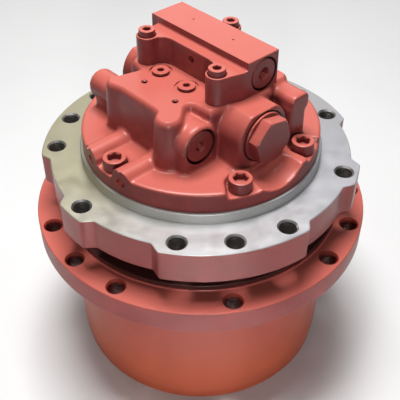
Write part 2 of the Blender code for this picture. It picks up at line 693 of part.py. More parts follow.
def make_rear_cover():
    place = (COVER,)
    cover = turned("rear_cover", [
        (0.0, Z_COVER),
        (R_DISC + 1.0, Z_COVER),
        (R_DISC + 1.0, Z_COVER + 1.7),
        (R_DISC, Z_COVER + 2.5),
        (R_DISC, Z_DISC - 3.0),
        (R_DISC - 3.0, Z_DISC),
        (0.0, Z_DISC),
    ], BIG_SIDES, place)
    levels = [(Z_DISC - 5.0, 2.4), (Z_PAD - 2.0, 0.0), (Z_PAD, -1.6)]
    tower = slab("tool_tower", tower_outline(), levels, place)
    half = R_RIDGE - 0.3
    notch = outline_box(20.0, BORE_1[0] - half, 53.0, BORE_1[0] + half)
    shelf = slab("tool_shelf", notch, [(Z_DISC - 5.0, 0.0), (BORE_1[1], 0.0)], place)
    ridge = disc("tool_ridge", R_RIDGE, 0.0, 33.0, 16, (facing((20.0, *BORE_1), OUT_A),))
    end = facing((BOSS_1_LEFT, *BORE_1), OUT_A)
    boss_1 = disc("tool_boss_1", R_BOSS_1, 0.0, -30.0 - BOSS_1_LEFT, 16, (end,))
    foot = outline_box(BOSS_1_LEFT + 3.0, -57.0, PAD_LEFT + 4.0, -40.0)
    web = slab("tool_web", foot, [(Z_DISC - 5.0, 1.0), (BORE_1[1], 0.0)], place)
    end = facing((-SPOOL_END, *BORE_2), OUT_A)
    boss_2 = disc("tool_boss_2", R_BOSS_2, 0.0, 2.0 * SPOOL_END, 26, (end,))
    top = outline_box(-SPOOL_END - 14.0, -40.0, SPOOL_END + 14.0, 40.0)
    cut(boss_2, slab("tool_boss_2_flat", top, [(Z_PAD - 0.1, 0.0), (Z_PAD + 20.0, 0.0)], place))
    half = R_BOSS_2 - 0.6
    sides = outline_box(3.0 - SPOOL_END, BORE_2[0] - half, SPOOL_END - 3.0, BORE_2[0] + half)
    cheeks = slab("tool_cheeks", sides, [(Z_DISC - 4.0, 2.0), (BORE_2[1], 0.0)], place)
    ear = disc("tool_ear", R_EAR, 0.0, SPOOL_END - 30.0, 16, (facing((30.0, *EAR), OUT_A),))
    foot = outline_box(28.0, EAR[0] - R_EAR + 0.3, SPOOL_END - 0.7, EAR[0] + R_EAR - 0.3)
    ear_foot = slab("tool_ear_foot", foot, [(Z_DISC - 6.0, 0.5), (EAR[1], 0.0)], place)
    ribs = []
    rim = R_DISC - 2.5
    for name, a in (("1", -24.0), ("2", 18.0)):
        spot = facing((a, -rim, Z_DISC - 4.5), OUT_B)
        ribs.append(disc("tool_rib_" + name, 10.5, 0.0, rim - 58.5, 12, (spot,)))
    join(cover, tower, shelf, ridge, boss_1, web, boss_2, cheeks, ear, ear_foot, *ribs)
    cut_rear_cover(cover)


def cut_rear_cover(cover):
    screws = [polar(R_COVER_SCREWS, angle, COVER) for angle in COVER_SCREW_ANGLES]
    seats = disc("tool_cover_seats", 11.8, Z_DISC - 6.5, Z_DISC + 15.0, PIN_SIDES, screws)
    holes = disc("tool_cover_holes", 6.9, Z_COVER - 5.0, Z_DISC, SLIM_SIDES, screws)
    taps = [moved(a, b, 0.0, COVER) for a, b in BLOCK_SCREWS]
    block_taps = disc("tool_block_taps", 4.7, Z_PAD - 30.0, Z_PAD + 5.0, SLIM_SIDES, taps)
    gauges = [moved(a, b, 0.0, COVER) for a, b in GAUGE_PLUGS]
    spots = turned("tool_gauge_spots", [
        (0.0, Z_PAD - 14.0),
        (6.8, Z_PAD - 14.0),
        (6.8, Z_PAD - 0.8),
        (10.35, Z_PAD - 0.8),
        (10.35, Z_PAD + 5.0),
        (0.0, Z_PAD + 5.0),
    ], BOLT_SIDES, gauges)
    spool_bore = turned("tool_spool_bore", [
        (0.0, -R_DISC),
        (16.0, -R_DISC),
        (16.0, -SPOOL_SEAT),
        (10.0, -SPOOL_SEAT),
        (10.0, SPOOL_SEAT - 2.0),
        (15.0, SPOOL_SEAT - 2.0),
        (15.0, R_DISC),
        (0.0, R_DISC),
    ], 18, (facing((0.0, *BORE_2), OUT_A),))
    selector = turned("tool_selector_bores", [
        (0.0, -16.0),
        (R_SELECTOR + GAP, -16.0),
        (R_SELECTOR + GAP, -3.0),
        (R_SELECTOR + 2.7, -3.0),
        (R_SELECTOR + 2.7, 6.0),
        (0.0, 6.0),
    ], 18, (facing((53.0, *BORE_1), OUT_A),))
    far = disc("tool_selector_far", 9.3, -14.0, 6.0, 18, (facing((BOSS_1_LEFT, *BORE_1), -OUT_A),))
    scoop = disc("tool_scoop", 36.0, 0.0, 40.0, 24, (facing((R_DISC - 15.0, -7.0, Z_DISC + 25.5), OUT_A),))
    ports = turned("tool_main_ports", [
        (0.0, -26.0),
        (13.0, -26.0),
        (13.0, -2.0),
        (18.0, -2.0),
        (18.0, 12.0),
        (0.0, 12.0),
    ], PIN_SIDES, [facing((a, 56.0, Z_DISC + 24.0), OUT_B) for a in (-26.0, 16.0)])
    cut(cover, seats, holes, block_taps, spots, spool_bore, selector, far, scoop, ports)


def make_cover_fittings():
    for number, angle in enumerate(COVER_SCREW_ANGLES, 1):
        spot = polar(R_COVER_SCREWS, angle, COVER) @ Matrix.Translation(Vector((0.0, 0.0, Z_DISC - 6.2)))
        socket_screw("cover_screw_" + str(number), spot, 6.0, 35.0, 9.0, 12.0, 10.0, 6.0)
    for name, (a, b) in zip("12", GAUGE_PLUGS):
        spot = moved(a, b, Z_PAD - 11.5, COVER)
        socket_plug("gauge_plug_" + name, spot, 6.4, 13.2, 5.5, 5.0, 7.8, 2.1)
    plug = facing((38.5, *BORE_1), OUT_A)
    socket_plug("selector_plug_right", plug, R_SELECTOR, 12.5, 8.0, 6.0)
    plug = facing((BOSS_1_LEFT + 12.0, *BORE_1), -OUT_A)
    socket_plug("selector_plug_left", plug, 9.0, 11.0, 8.0, 6.0)
    plug = facing((-SPOOL_SEAT - 0.4, *BORE_2), -OUT_A)
    socket_plug("spool_plug_left", plug, 15.7, 12.0, 12.0, 7.0)
    turn = math.radians(16.4)
    loft("hex_cap_right", [
        circle(14.7, 24, 0.0),
        circle(14.7, 24, 15.4),
        circle(21.5, 24, 15.4),
        circle(21.5, 24, 17.4),
        hexagon(36.0, 24, 17.4, turn, 19.5),
        hexagon(36.0, 24, 25.4, turn, 19.5),
        hexagon(33.6, 24, 26.6, turn, 17.6),
    ], (facing((SPOOL_SEAT, *BORE_2), OUT_A),))
    turned("counterbalance_spool", [
        (0.0, -SPOOL_REACH),
        (9.95, -SPOOL_REACH),
        (9.95, -30.0),
        (7.0, -28.0),
        (7.0, -14.0),
        (9.95, -12.0),
        (9.95, 12.0),
        (7.0, 14.0),
        (7.0, 28.0),
        (9.95, 30.0),
        (9.95, SPOOL_REACH),
        (0.0, SPOOL_REACH),
    ], 18, (facing((0.0, *BORE_2), OUT_A),))


def make_valve_block():
    place = (COVER,)
    bar = outline_box(-66.0, 1.7, 53.0, 36.4)
    levels = [(Z_BLOCK, 0.0), (Z_TOP - 1.2, 0.0), (Z_TOP, -1.2)]
    block = slab("valve_block", bar, levels, place)
    (left_a, left_b), (right_a, right_b), (back_a, back_b) = BLOCK_SCREWS
    front = [(-58.0, 8.0)] + arc((left_a, left_b), 9.3, 180.0, 360.0, 8)
    front += [(-36.5, -14.5), (-30.0, -12.6), (22.0, -13.0), (27.0, -15.0)]
    front += arc((right_a, right_b), 9.3, 180.0, 350.0, 8)
    front += [(50.0, -13.0), (53.0, -3.0), (52.9, 8.0)]
    levels = [(Z_BLOCK, 0.0), (Z_LEDGE - 1.0, 0.0), (Z_LEDGE, -1.0)]
    ledge = slab("tool_ledge", front, levels, place)
    lug = [(back_a + 9.3, 30.0)] + arc((back_a, back_b), 9.3, 0.0, 180.0, 8) + [(back_a - 9.3, 30.0)]
    back = slab("tool_back_lug", lug, levels, place)
    join(block, ledge, back)
    spots = [moved(a, b, 0.0, COVER) for a, b in BLOCK_SCREWS]
    holes = turned("tool_block_holes", [
        (0.0, Z_BLOCK - 5.0),
        (4.5, Z_BLOCK - 5.0),
        (4.5, Z_LEDGE - 2.6),
        (8.1, Z_LEDGE - 2.6),
        (8.1, Z_LEDGE + 12.0),
        (0.0, Z_LEDGE + 12.0),
    ], BOLT_SIDES, spots)
    recess = [(0.0, -14.0), (12.8, -14.0), (12.8, -2.5), (14.4, -2.5), (14.4, 6.0), (0.0, 6.0)]
    middle = (20.6, Z_BLOCK + 14.9)
    right = turned("tool_block_right", recess, 18, (facing((53.0, *middle), OUT_A),))
    left = turned("tool_block_left", recess, 18, (facing((-66.0, *middle), -OUT_A),))
    cut(block, holes, right, left)
    socket_plug("block_plug_right", facing((39.5, *middle), OUT_A), 12.5, 12.0, 9.5, 6.0)
    socket_plug("block_plug_left", facing((-52.5, *middle), -OUT_A), 12.5, 12.0, 9.5, 6.0)
    for number, (a, b) in enumerate(BLOCK_SCREWS, 1):
        spot = moved(a, b, Z_LEDGE - 2.3, COVER)
        socket_screw("block_screw_" + str(number), spot, 4.0, 48.0, 6.7, 8.0, 6.0, 4.0)


# Finishes: colour, roughness, metallic

FINISHES = {
    "red_paint": ((0.78, 0.13, 0.08), 0.3, 0.0),
    "bright_steel": ((0.62, 0.60, 0.57), 0.3, 1.0),
    "plated_steel": ((0.45, 0.46, 0.46), 0.35, 1.0),
    "gear_steel": ((0.33, 0.33, 0.34), 0.4, 1.0),
    "black_oxide": ((0.06, 0.06, 0.07), 0.4, 1.0),
    "bronze": ((0.60, 0.38, 0.16), 0.35, 1.0),
}
FINISHED_WITH = {
    "red_paint": ("hub", "spindle", "rear_cover", "valve_block", "end_cover", "cover_screw", "block_screw",
                  "block_plug", "hex_cap", "selector_plug", "gauge_plug", "spool_plug"),
    "bright_steel": ("main_bearing", "roller_set", "seal_ring", "motor_shaft", "counterbalance"),
    "plated_steel": ("drain_plug", "bearing_nut", "brake_piston", "brake_spring", "separator_plate"),
    "gear_steel": ("first_", "second_", "drive_gear", "cylinder_block", "swash_plate", "shaft_bearing"),
    "black_oxide": ("friction_disc",),
    "bronze": ("valve_plate", "piston_set"),
}


def finish(thing, colour, roughness, metallic):
    material = bpy.data.materials.new(thing.name)
    material.use_nodes = True
    shader = material.node_tree.nodes["Principled BSDF"]
    shader.inputs["Base Color"].default_value = (*colour, 1.0)
    shader.inputs["Roughness"].default_value = roughness
    shader.inputs["Metallic"].default_value = metallic
    thing.data.materials.append(material)


def finish_all():
    for kind, starts in FINISHED_WITH.items():
        for thing in bpy.context.scene.objects:
            if not thing.hide_render and thing.name.startswith(starts):
                finish(thing, *FINISHES[kind])


clear_scene()
make_spindle()
make_fixed_bearing_parts()
make_seals()
make_hub()
make_end_cover()
make_stages()
make_motor()
make_rear_cover()
make_cover_fittings()
make_valve_block()
finish_all()
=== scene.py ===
"""Looks of the excavator final drive: castings, fasteners, gears, finishes, studio and camera."""

import json
import math

import bmesh
import bpy
from mathutils import Matrix, Vector


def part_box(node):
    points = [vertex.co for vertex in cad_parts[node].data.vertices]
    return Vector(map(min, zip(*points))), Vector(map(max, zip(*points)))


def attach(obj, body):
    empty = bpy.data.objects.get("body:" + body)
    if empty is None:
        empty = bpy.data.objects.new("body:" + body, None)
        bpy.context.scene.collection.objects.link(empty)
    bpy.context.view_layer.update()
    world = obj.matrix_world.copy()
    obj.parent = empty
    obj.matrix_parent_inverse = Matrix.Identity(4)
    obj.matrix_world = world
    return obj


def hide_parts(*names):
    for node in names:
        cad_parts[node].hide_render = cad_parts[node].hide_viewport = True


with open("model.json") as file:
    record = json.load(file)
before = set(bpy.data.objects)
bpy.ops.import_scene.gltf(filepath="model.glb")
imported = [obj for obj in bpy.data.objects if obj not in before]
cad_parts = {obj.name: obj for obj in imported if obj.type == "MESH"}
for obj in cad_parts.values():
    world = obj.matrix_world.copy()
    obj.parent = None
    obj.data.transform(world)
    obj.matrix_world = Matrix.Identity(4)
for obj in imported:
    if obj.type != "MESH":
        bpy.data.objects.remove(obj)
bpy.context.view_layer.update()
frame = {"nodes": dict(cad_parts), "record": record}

MM = 0.001
TAU = 2.0 * math.pi
SHARP = math.radians(33.0)
TURNED_SHARP = math.radians(12.0)


def level(node, top):
    """Lowest or highest Z of a CAD node, in millimetres."""
    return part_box(node)[1 if top else 0][2] / MM


# Heights, from the frame
Z_RIM = 10.0
Z_HUB = level("hub", False)
Z_COLLAR = level("hub", True)
Z_SPROCKET_TOP = Z_COLLAR - 6.0
Z_SPROCKET = Z_SPROCKET_TOP - 22.6
Z_FRAME = Z_COLLAR + 19.0
Z_FRAME_TOP = Z_FRAME + 30.4
Z_PILOT = level("spindle", True)
Z_COVER = level("rear_cover", False)
Z_PAD = level("rear_cover", True)
Z_DISC = Z_PAD - 45.5
Z_BLOCK = level("valve_block", False)
Z_TOP = level("valve_block", True)
Z_LEDGE = Z_BLOCK + 24.7
Z_RIB_PLUG = Z_DISC - 6.5

# Radii of the gearbox castings
R_END_COVER = 123.5
R_HUB_LOW = 124.3
R_HUB_HIGH = 125.5
R_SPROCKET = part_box("hub")[1][0] / MM
R_COLLAR = 130.0
R_SKIRT = 119.0
R_SEAL_BORE = 115.0
R_WAIST = 136.0
R_LOBE = 144.0
R_PILOT = 108.8
R_DISC = 106.0

# Tapped holes of the flanges
R_THREAD = 7.35
THREAD_PITCH = 2.0
THREAD_DEPTH = 0.55
R_MOUTH = 8.8
R_SPROCKET_HOLES = 143.4
R_FRAME_HOLES = 131.3
HOLE_STEP = 20.0
SPROCKET_TRIPLETS = (220.8, 340.8, 100.8)
SPROCKET_SINGLES = (280.8, 40.8, 160.8)
FRAME_TRIPLETS = (161.95, 281.95, 41.95)
FRAME_SINGLES = (221.95, 341.95, 101.95)

# The cover's own directions: a runs along its bores, b across them
COVER_TURN = -47.5
PAD_LEFT = -42.0
BORE_1 = (-48.4, Z_DISC + 21.4)
BORE_2 = (-1.0, Z_DISC + 22.0)
R_BOSS_1 = 13.0
R_BOSS_2 = 27.0
SPOOL_BOSS = (-76.0, 76.0)
BOSS_1_LEFT = -81.0
EAR = (42.4, Z_DISC + 30.5)
R_EAR = 11.3
KNOB = (30.0, -62.0)
R_KNOB = 11.5
R_RIDGE = 18.5
PAD_TAPS = ((-22.5, -43.6), (17.7, -44.4))
R_COVER_SCREWS = 94.5
COVER_SCREW_ANGLES = (-91.0, -23.0, 23.5, 88.0, 157.0, 196.0)
BLOCK_SCREWS = ((-48.2, -18.6), (39.0, -19.0), (-12.0, 45.5))
GAUGE_PLUGS = ((-26.5, -22.5), (6.9, -22.7))
RIBS = (-24.0, 18.0)
BLOCK_BORE = (20.6, Z_BLOCK + 14.9)
BLOCK_ENDS = (-66.0, 53.0)
BLOCK_PINS = ((-32.8, 21.0), (16.5, 20.4))
R_LUG = 9.4

COVER = Matrix.Rotation(math.radians(COVER_TURN), 4, "Z")
WORLD = Matrix.Identity(4)
UP = Vector((0.0, 0.0, 1.0))
OUT_A = Vector((1.0, 0.0, 0.0))
OUT_B = Vector((0.0, 1.0, 0.0))
ROUND = 192
FINE = 48


# Places

def facing(origin, out, side=UP, base=COVER):
    """Placement that turns a lathe axis from +Z to the direction out, in the frame of base."""
    turn = Matrix((side, out.cross(side), out)).transposed().to_4x4()
    return base @ Matrix.Translation(Vector(origin)) @ turn


def moved(x, y, z=0.0, base=WORLD):
    return base @ Matrix.Translation(Vector((x, y, z)))


def polar(radius, degrees, base=WORLD):
    angle = math.radians(degrees)
    return moved(radius * math.cos(angle), radius * math.sin(angle), 0.0, base)


# Mesh tools

def add_mesh(name, points, faces, places=(WORLD,), material=None):
    """One object at the origin from points in millimetres, repeated at each place."""
    shape = bmesh.new()
    for place in places:
        corners = [shape.verts.new((place @ Vector(point)) * MM) for point in points]
        for face in faces:
            shape.faces.new([corners[index] for index in face])
    bmesh.ops.recalc_face_normals(shape, faces=shape.faces)
    mesh = bpy.data.meshes.new(name)
    shape.to_mesh(mesh)
    shape.free()
    if material:
        mesh.materials.append(material)
    thing = bpy.data.objects.new(name, mesh)
    bpy.context.scene.collection.objects.link(thing)
    return thing


def circle(radius, count, height):
    """Points evenly round the Z axis."""
    angles = [TAU * index / count for index in range(count)]
    return [(radius * math.cos(angle), radius * math.sin(angle), height) for angle in angles]


def hexagon(flats, count, height, turn=0.0, corners=1e9):
    """A hexagon as count points at even angles, its corners cut back to the radius corners."""
    points = []
    for index in range(count):
        angle = TAU * index / count
        off = angle % (TAU / 6.0) - TAU / 12.0
        radius = min(flats / 2.0 / math.cos(off), corners)
        points.append((radius * math.cos(angle + turn), radius * math.sin(angle + turn), height))
    return points


def rounded(corners, steps=4):
    """A closed outline from corners (x, y) or (x, y, radius), each radius drawn as an arc."""
    points = []
    count = len(corners)
    for index, corner in enumerate(corners):
        here = Vector(corner[:2])
        if len(corner) < 3 or not corner[2]:
            points.append(tuple(here))
            continue
        before = Vector(corners[index - 1][:2]) - here
        after = Vector(corners[(index + 1) % count][:2]) - here
        half = before.angle(after) / 2.0
        reach = min(corner[2] / math.tan(half), 0.49 * before.length, 0.49 * after.length)
        radius = reach * math.tan(half)
        start = here + before.normalized() * reach
        centre = here + (before.normalized() + after.normalized()).normalized() * (radius / math.sin(half))
        sweep = math.copysign(math.pi - 2.0 * half, before.x * after.y - before.y * after.x) * -1.0
        spoke = start - centre
        for step in range(steps + 1):
            points.append(tuple(centre + Matrix.Rotation(sweep * step / steps, 2) @ spoke))
    return points


def arc(centre, radius, start, end, steps):
    points = []
    for step in range(steps + 1):
        angle = math.radians(start + (end - start) * step / steps)
        points.append((centre[0] + radius * math.cos(angle), centre[1] + radius * math.sin(angle)))
    return points


def box_outline(low_a, low_b, high_a, high_b):
    return [(low_a, low_b), (high_a, low_b), (high_a, high_b), (low_a, high_b)]


def grown(outline, distance):
    """A counterclockwise outline moved outwards by distance, corner by corner."""
    result = []
    count = len(outline)
    for index in range(count):
        here = Vector(outline[index])
        into = (here - Vector(outline[index - 1])).normalized()
        away = (Vector(outline[(index + 1) % count]) - here).normalized()
        first = Vector((into.y, -into.x))
        second = Vector((away.y, -away.x))
        middle = first + second
        result.append(tuple(here + middle * (distance / max(middle.dot(first), 0.4))))
    return result


def loft(name, loops, places=(WORLD,), material=None):
    """Skin through loops of equal point counts, closed by a face at each end."""
    points = [point for loop in loops for point in loop]
    count = len(loops[0])
    faces = [tuple(range(count)), tuple(range(len(points) - count, len(points)))]
    for step in range(len(loops) - 1):
        low = step * count
        for index in range(count):
            after = (index + 1) % count
            faces.append((low + index, low + after, low + count + after, low + count + index))
    return add_mesh(name, points, faces, places, material)


def slab(name, outline, levels, places=(WORLD,), material=None):
    """A stack of one outline; each level is (height, how far the outline is moved outwards)."""
    loops = []
    for height, distance in levels:
        loops.append([(x, y, height) for x, y in grown(outline, distance)])
    return loft(name, loops, places, material)


def lathe(name, profile, count=ROUND, places=(WORLD,), material=None):
    """Turned shape from a closed profile of (radius, height), on its axis where the radius is 0."""
    points = []
    rings = []
    for radius, height in profile:
        start = len(points)
        if radius < 1e-6:
            rings.append([start] * count)
            points.append((0.0, 0.0, height))
        else:
            rings.append(list(range(start, start + count)))
            points.extend(circle(radius, count, height))
    faces = []
    for here, following in zip(rings, rings[1:] + rings[:1]):
        for index in range(count):
            after = (index + 1) % count
            corners = [here[index], here[after], following[after], following[index]]
            face = [corner for place, corner in enumerate(corners) if corner not in corners[:place]]
            if len(face) > 2:
                faces.append(face)
    return add_mesh(name, points, faces, places, material)


def disc(name, radius, low, high, count, places=(WORLD,), material=None):
    return lathe(name, [(0.0, low), (radius, low), (radius, high), (0.0, high)], count, places, material)


def stepped(name, start, steps, places, material, count=FINE):
    """Cutter for a stepped bore that begins at height start; steps are (radius, height it ends at)."""
    profile = [(0.0, start)]
    low = start
    for radius, high in steps:
        profile += [(radius, low), (radius, high)]
        low = high
    profile.append((0.0, low))
    return lathe(name, profile, count, places, material)


def applied(thing):
    """Replaces a piece's mesh by what its modifiers make of it."""
    graph = bpy.context.evaluated_depsgraph_get()
    mesh = bpy.data.meshes.new_from_object(thing.evaluated_get(graph), depsgraph=graph)
    before = thing.data
    thing.modifiers.clear()
    thing.data = mesh
    bpy.data.meshes.remove(before)
    return thing


def discard(thing):
    mesh = thing.data
    bpy.data.objects.remove(thing, do_unlink=True)
    bpy.data.meshes.remove(mesh)


def combine(target, operation, *tools):
    for tool in tools:
        modifier = target.modifiers.new(tool.name, "BOOLEAN")
        modifier.operation = operation
        modifier.solver = "MANIFOLD"
        modifier.material_mode = "TRANSFER"
        modifier.object = tool
    applied(target)
    for tool in tools:
        discard(tool)
    return target


def joined(name, things):
    """Several closed shapes as one object, still overlapping."""
    shape = bmesh.new()
    for thing in things:
        shape.from_mesh(thing.data)
    mesh = bpy.data.meshes.new(name)
    shape.to_mesh(mesh)
    shape.free()
    for material in things[0].data.materials:
        mesh.materials.append(material)
    for thing in things:
        discard(thing)
    result = bpy.data.objects.new(name, mesh)
    bpy.context.scene.collection.objects.link(result)
    return result


def cast(thing, voxel, rounds=0):
    """Melts overlapping shapes into one skin, and rounds of smoothing fillet its corners and edges."""
    remesh = thing.modifiers.new("remesh", "REMESH")
    remesh.mode = "VOXEL"
    remesh.voxel_size = voxel * MM
    if rounds:
        smooth = thing.modifiers.new("smooth", "SMOOTH")
        smooth.factor = 0.5
        smooth.iterations = rounds
    return applied(thing)


def repaint(thing, old, new, chosen):
    """Swaps one finish for another on the faces whose centre, in mm, and normal are chosen."""
    slots = [material.name for material in thing.data.materials]
    before = slots.index(old.name)
    thing.data.materials.append(new)
    for face in thing.data.polygons:
        if face.material_index == before and chosen(face.center / MM, face.normal):
            face.material_index = len(slots)


def level_normals(mesh):
    """Shades every level face as exactly level, however thin the triangles that it is cut into."""
    normals = [Vector(normal.vector) for normal in mesh.corner_normals]
    for face in mesh.polygons:
        heights = [mesh.vertices[index].co.z for index in face.vertices]
        if max(heights) - min(heights) < 1e-6:
            straight = Vector((0.0, 0.0, -1.0 if face.normal.z < -0.5 else 1.0))
            for index in face.loop_indices:
                normals[index] = straight
    mesh.normals_split_custom_set(normals)


def finished(thing, body, nodes=(), sharp=SHARP):
    """Shades a piece, hides the CAD nodes that it replaces, and hands it to the body that carries it."""
    thing.data.shade_smooth()
    thing.data.set_sharp_from_angle(angle=sharp)
    normals = thing.modifiers.new("normals", "WEIGHTED_NORMAL")
    normals.keep_sharp = True
    normals.weight = 100
    applied(thing)
    level_normals(thing.data)
    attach(thing, body)
    if nodes:
        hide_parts(*nodes)
    return thing


# Materials

def new_material(name):
    material = bpy.data.materials.new(name)
    material.use_nodes = True
    tree = material.node_tree
    return material, tree, tree.nodes["Principled BSDF"]


def add_node(tree, kind, settings=(), **inputs):
    node = tree.nodes.new(kind)
    for key, value in dict(settings).items():
        setattr(node, key, value)
    for key, value in inputs.items():
        socket = node.inputs[key.replace("_", " ")]
        if isinstance(value, bpy.types.NodeSocket):
            tree.links.new(value, socket)
        else:
            socket.default_value = value
    return node


def noise(tree, scale, detail=3.0):
    place = add_node(tree, "ShaderNodeTexCoord").outputs["Object"]
    node = add_node(tree, "ShaderNodeTexNoise", Vector=place, Scale=scale, Detail=detail, Roughness=0.55)
    return node.outputs["Fac"]


def span(tree, value, low, high, start=0.3, end=0.7):
    """The value's range start to end spread over low to high."""
    node = add_node(tree, "ShaderNodeMapRange", Value=value)
    node.inputs["From Min"].default_value = start
    node.inputs["From Max"].default_value = end
    node.inputs["To Min"].default_value = low
    node.inputs["To Max"].default_value = high
    return node.outputs["Result"]


def blended(tree, factor, first, second):
    node = add_node(tree, "ShaderNodeMix", {"data_type": "RGBA"})
    tree.links.new(factor, node.inputs["Factor"])
    for socket, colour in ((node.inputs[6], first), (node.inputs[7], second)):
        if isinstance(colour, bpy.types.NodeSocket):
            tree.links.new(colour, socket)
        else:
            socket.default_value = (*colour, 1.0)
    return node.outputs[2]


def bump(tree, height, strength, distance, under=None):
    node = add_node(tree, "ShaderNodeBump", Height=height, Strength=strength, Distance=distance)
    if under:
        tree.links.new(under, node.inputs["Normal"])
    return node.outputs["Normal"]


def wire(tree, shader, **inputs):
    for key, value in inputs.items():
        tree.links.new(value, shader.inputs[key.replace("_", " ")])


# The red tones below are kept dark for the side walls, so that walls read as shaded.
RED_DEEP = (0.16, 0.026, 0.025)
RED = (0.21, 0.035, 0.033)
RED_LIGHT = (0.31, 0.054, 0.045)
# Painted light: the hub barrel is mixed toward this lighter, warmer red towards its bottom.
RED_PAINTED_BARREL_LIGHT = (0.50, 0.100, 0.042)
# Painted light: faces that look up are mixed toward this lighter red, so tops read as lit.
RED_PAINTED_TOP_LIGHT = (0.65, 0.155, 0.118)
# Painted shade: this near-black red darkens gaps and recesses where shade falls.
RED_PAINTED_SHADE = (0.06, 0.016, 0.013)


def paint(name, grain, sheen, dark=RED_DEEP, mid=RED, light=RED_LIGHT, low=None, top=None,
          coat=0.10, specular=0.3):
    """Satin enamel over a skin of height grain, in metres.

    low is a painted light, a lighter and warmer colour far down the barrel, and top a painted light, a
    lighter colour on faces that look up.
    """
    material, tree, shader = new_material(name)
    broad = blended(tree, span(tree, noise(tree, 14.0), 0.0, 1.0), dark, mid)
    colour = blended(tree, span(tree, noise(tree, 75.0, 5.0), 0.0, 0.45, 0.45, 0.75), broad, light)
    # Painted light: faces that look up are made lighter than the walls.
    if top:
        up_normal_for_painted_light = add_node(tree, "ShaderNodeTexCoord").outputs["Normal"]
        share = add_node(tree, "ShaderNodeSeparateXYZ", Vector=up_normal_for_painted_light).outputs["Z"]
        colour = blended(tree, span(tree, share, 0.0, 0.75, 0.1, 0.95), colour, top)
    # Painted light: the barrel is made lighter and warmer towards its bottom.
    if low:
        place = add_node(tree, "ShaderNodeTexCoord").outputs["Object"]
        height = add_node(tree, "ShaderNodeSeparateXYZ", Vector=place).outputs["Z"]
        colour = blended(tree, span(tree, height, 0.9, 0.0, 0.03, 0.135), colour, low)
    rough = span(tree, noise(tree, 55.0, 4.0), sheen, sheen + 0.08)
    skin = bump(tree, noise(tree, 420.0, 3.0), 0.5, grain)
    waves = bump(tree, noise(tree, 40.0, 2.0), 0.35, 2.0 * grain, skin)
    wire(tree, shader, Base_Color=colour, Roughness=rough, Normal=waves)
    shader.inputs["Coat Weight"].default_value = coat
    shader.inputs["Coat Roughness"].default_value = 0.24
    shader.inputs["Specular IOR Level"].default_value = specular
    return material


def turned_steel(name, colour, stain_and_reflection, painted_reflection_grey, rough, metallic):
    """Lathe-turned face: fine rings round the drive's axis, with painted reflection: beige toward one side
    and grey toward another.
    """
    material, tree, shader = new_material(name)
    place = add_node(tree, "ShaderNodeTexCoord").outputs["Object"]
    split = add_node(tree, "ShaderNodeSeparateXYZ", Vector=place)
    flat = add_node(tree, "ShaderNodeCombineXYZ", X=split.outputs["X"], Y=split.outputs["Y"])
    length = add_node(tree, "ShaderNodeVectorMath", {"operation": "LENGTH"})
    tree.links.new(flat.outputs["Vector"], length.inputs[0])
    path = add_node(tree, "ShaderNodeCombineXYZ", X=length.outputs["Value"], Z=split.outputs["Z"])
    rings = add_node(tree, "ShaderNodeTexNoise", Vector=path.outputs["Vector"], Scale=1300.0, Detail=2.0)
    coarse = add_node(tree, "ShaderNodeTexNoise", Vector=path.outputs["Vector"], Scale=260.0, Detail=2.0)
    across = add_node(tree, "ShaderNodeMath", {"operation": "SUBTRACT"})
    tree.links.new(split.outputs["X"], across.inputs[0])
    tree.links.new(split.outputs["Y"], across.inputs[1])
    # Painted reflection: the mixes below tint the face beige toward its far-left side and grey toward its
    # right side.
    reflection_side_mask = add_node(tree, "ShaderNodeMath", {"operation": "MULTIPLY_ADD"})
    tree.links.new(noise(tree, 16.0, 4.0), reflection_side_mask.inputs[0])
    reflection_side_mask.inputs[1].default_value = -0.12
    tree.links.new(across.outputs["Value"], reflection_side_mask.inputs[2])
    stained = blended(tree, span(tree, reflection_side_mask.outputs["Value"], 1.0, 0.0, -0.11, 0.06), colour, stain_and_reflection)
    painted_reflection_tones = blended(tree, span(tree, split.outputs["X"], 0.0, 0.8, 0.02, 0.12), stained, painted_reflection_grey)
    tint = blended(tree, span(tree, coarse.outputs["Fac"], 0.0, 0.25), painted_reflection_tones, (0.50, 0.49, 0.47))
    gloss = span(tree, noise(tree, 60.0, 4.0), rough, rough + 0.10)
    lines = bump(tree, rings.outputs["Fac"], 0.35, 0.00002)
    wire(tree, shader, Base_Color=tint, Roughness=gloss, Normal=lines)
    tangent = add_node(tree, "ShaderNodeTangent", {"direction_type": "RADIAL", "axis": "Z"})
    tree.links.new(tangent.outputs["Tangent"], shader.inputs["Tangent"])
    shader.inputs["Metallic"].default_value = metallic
    shader.inputs["Anisotropic"].default_value = 0.2
    return material


def steel(name, colour, stain_and_reflection, rough, metallic=1.0, grain=0.00001):
    """Plain metal with a handled, slightly stained surface."""
    material, tree, shader = new_material(name)
    tint = blended(tree, span(tree, noise(tree, 40.0, 5.0), 0.0, 1.0), colour, stain_and_reflection)
    gloss = span(tree, noise(tree, 130.0, 4.0), rough - 0.05, rough + 0.12)
    marks = bump(tree, noise(tree, 900.0, 2.0), 0.4, grain)
    wire(tree, shader, Base_Color=tint, Roughness=gloss, Normal=marks)
    shader.inputs["Metallic"].default_value = metallic
    return material


# These enamels carry painted light: their faces that look up are lighter.
CAST_PAINT = paint("cast_red_enamel", 0.0001, 0.28, top=RED_PAINTED_TOP_LIGHT)
SMOOTH_PAINT = paint("smooth_red_enamel", 0.00001, 0.34, RED, RED_LIGHT, top=RED_PAINTED_TOP_LIGHT,
                     coat=0.2, specular=0.35)
# The barrel enamel also carries painted light low down on the barrel.
BARREL_PAINT = paint("barrel_red_enamel", 0.00001, 0.34, RED, RED_LIGHT, low=RED_PAINTED_BARREL_LIGHT, top=RED_PAINTED_TOP_LIGHT,
                     coat=0.0, specular=0.28)
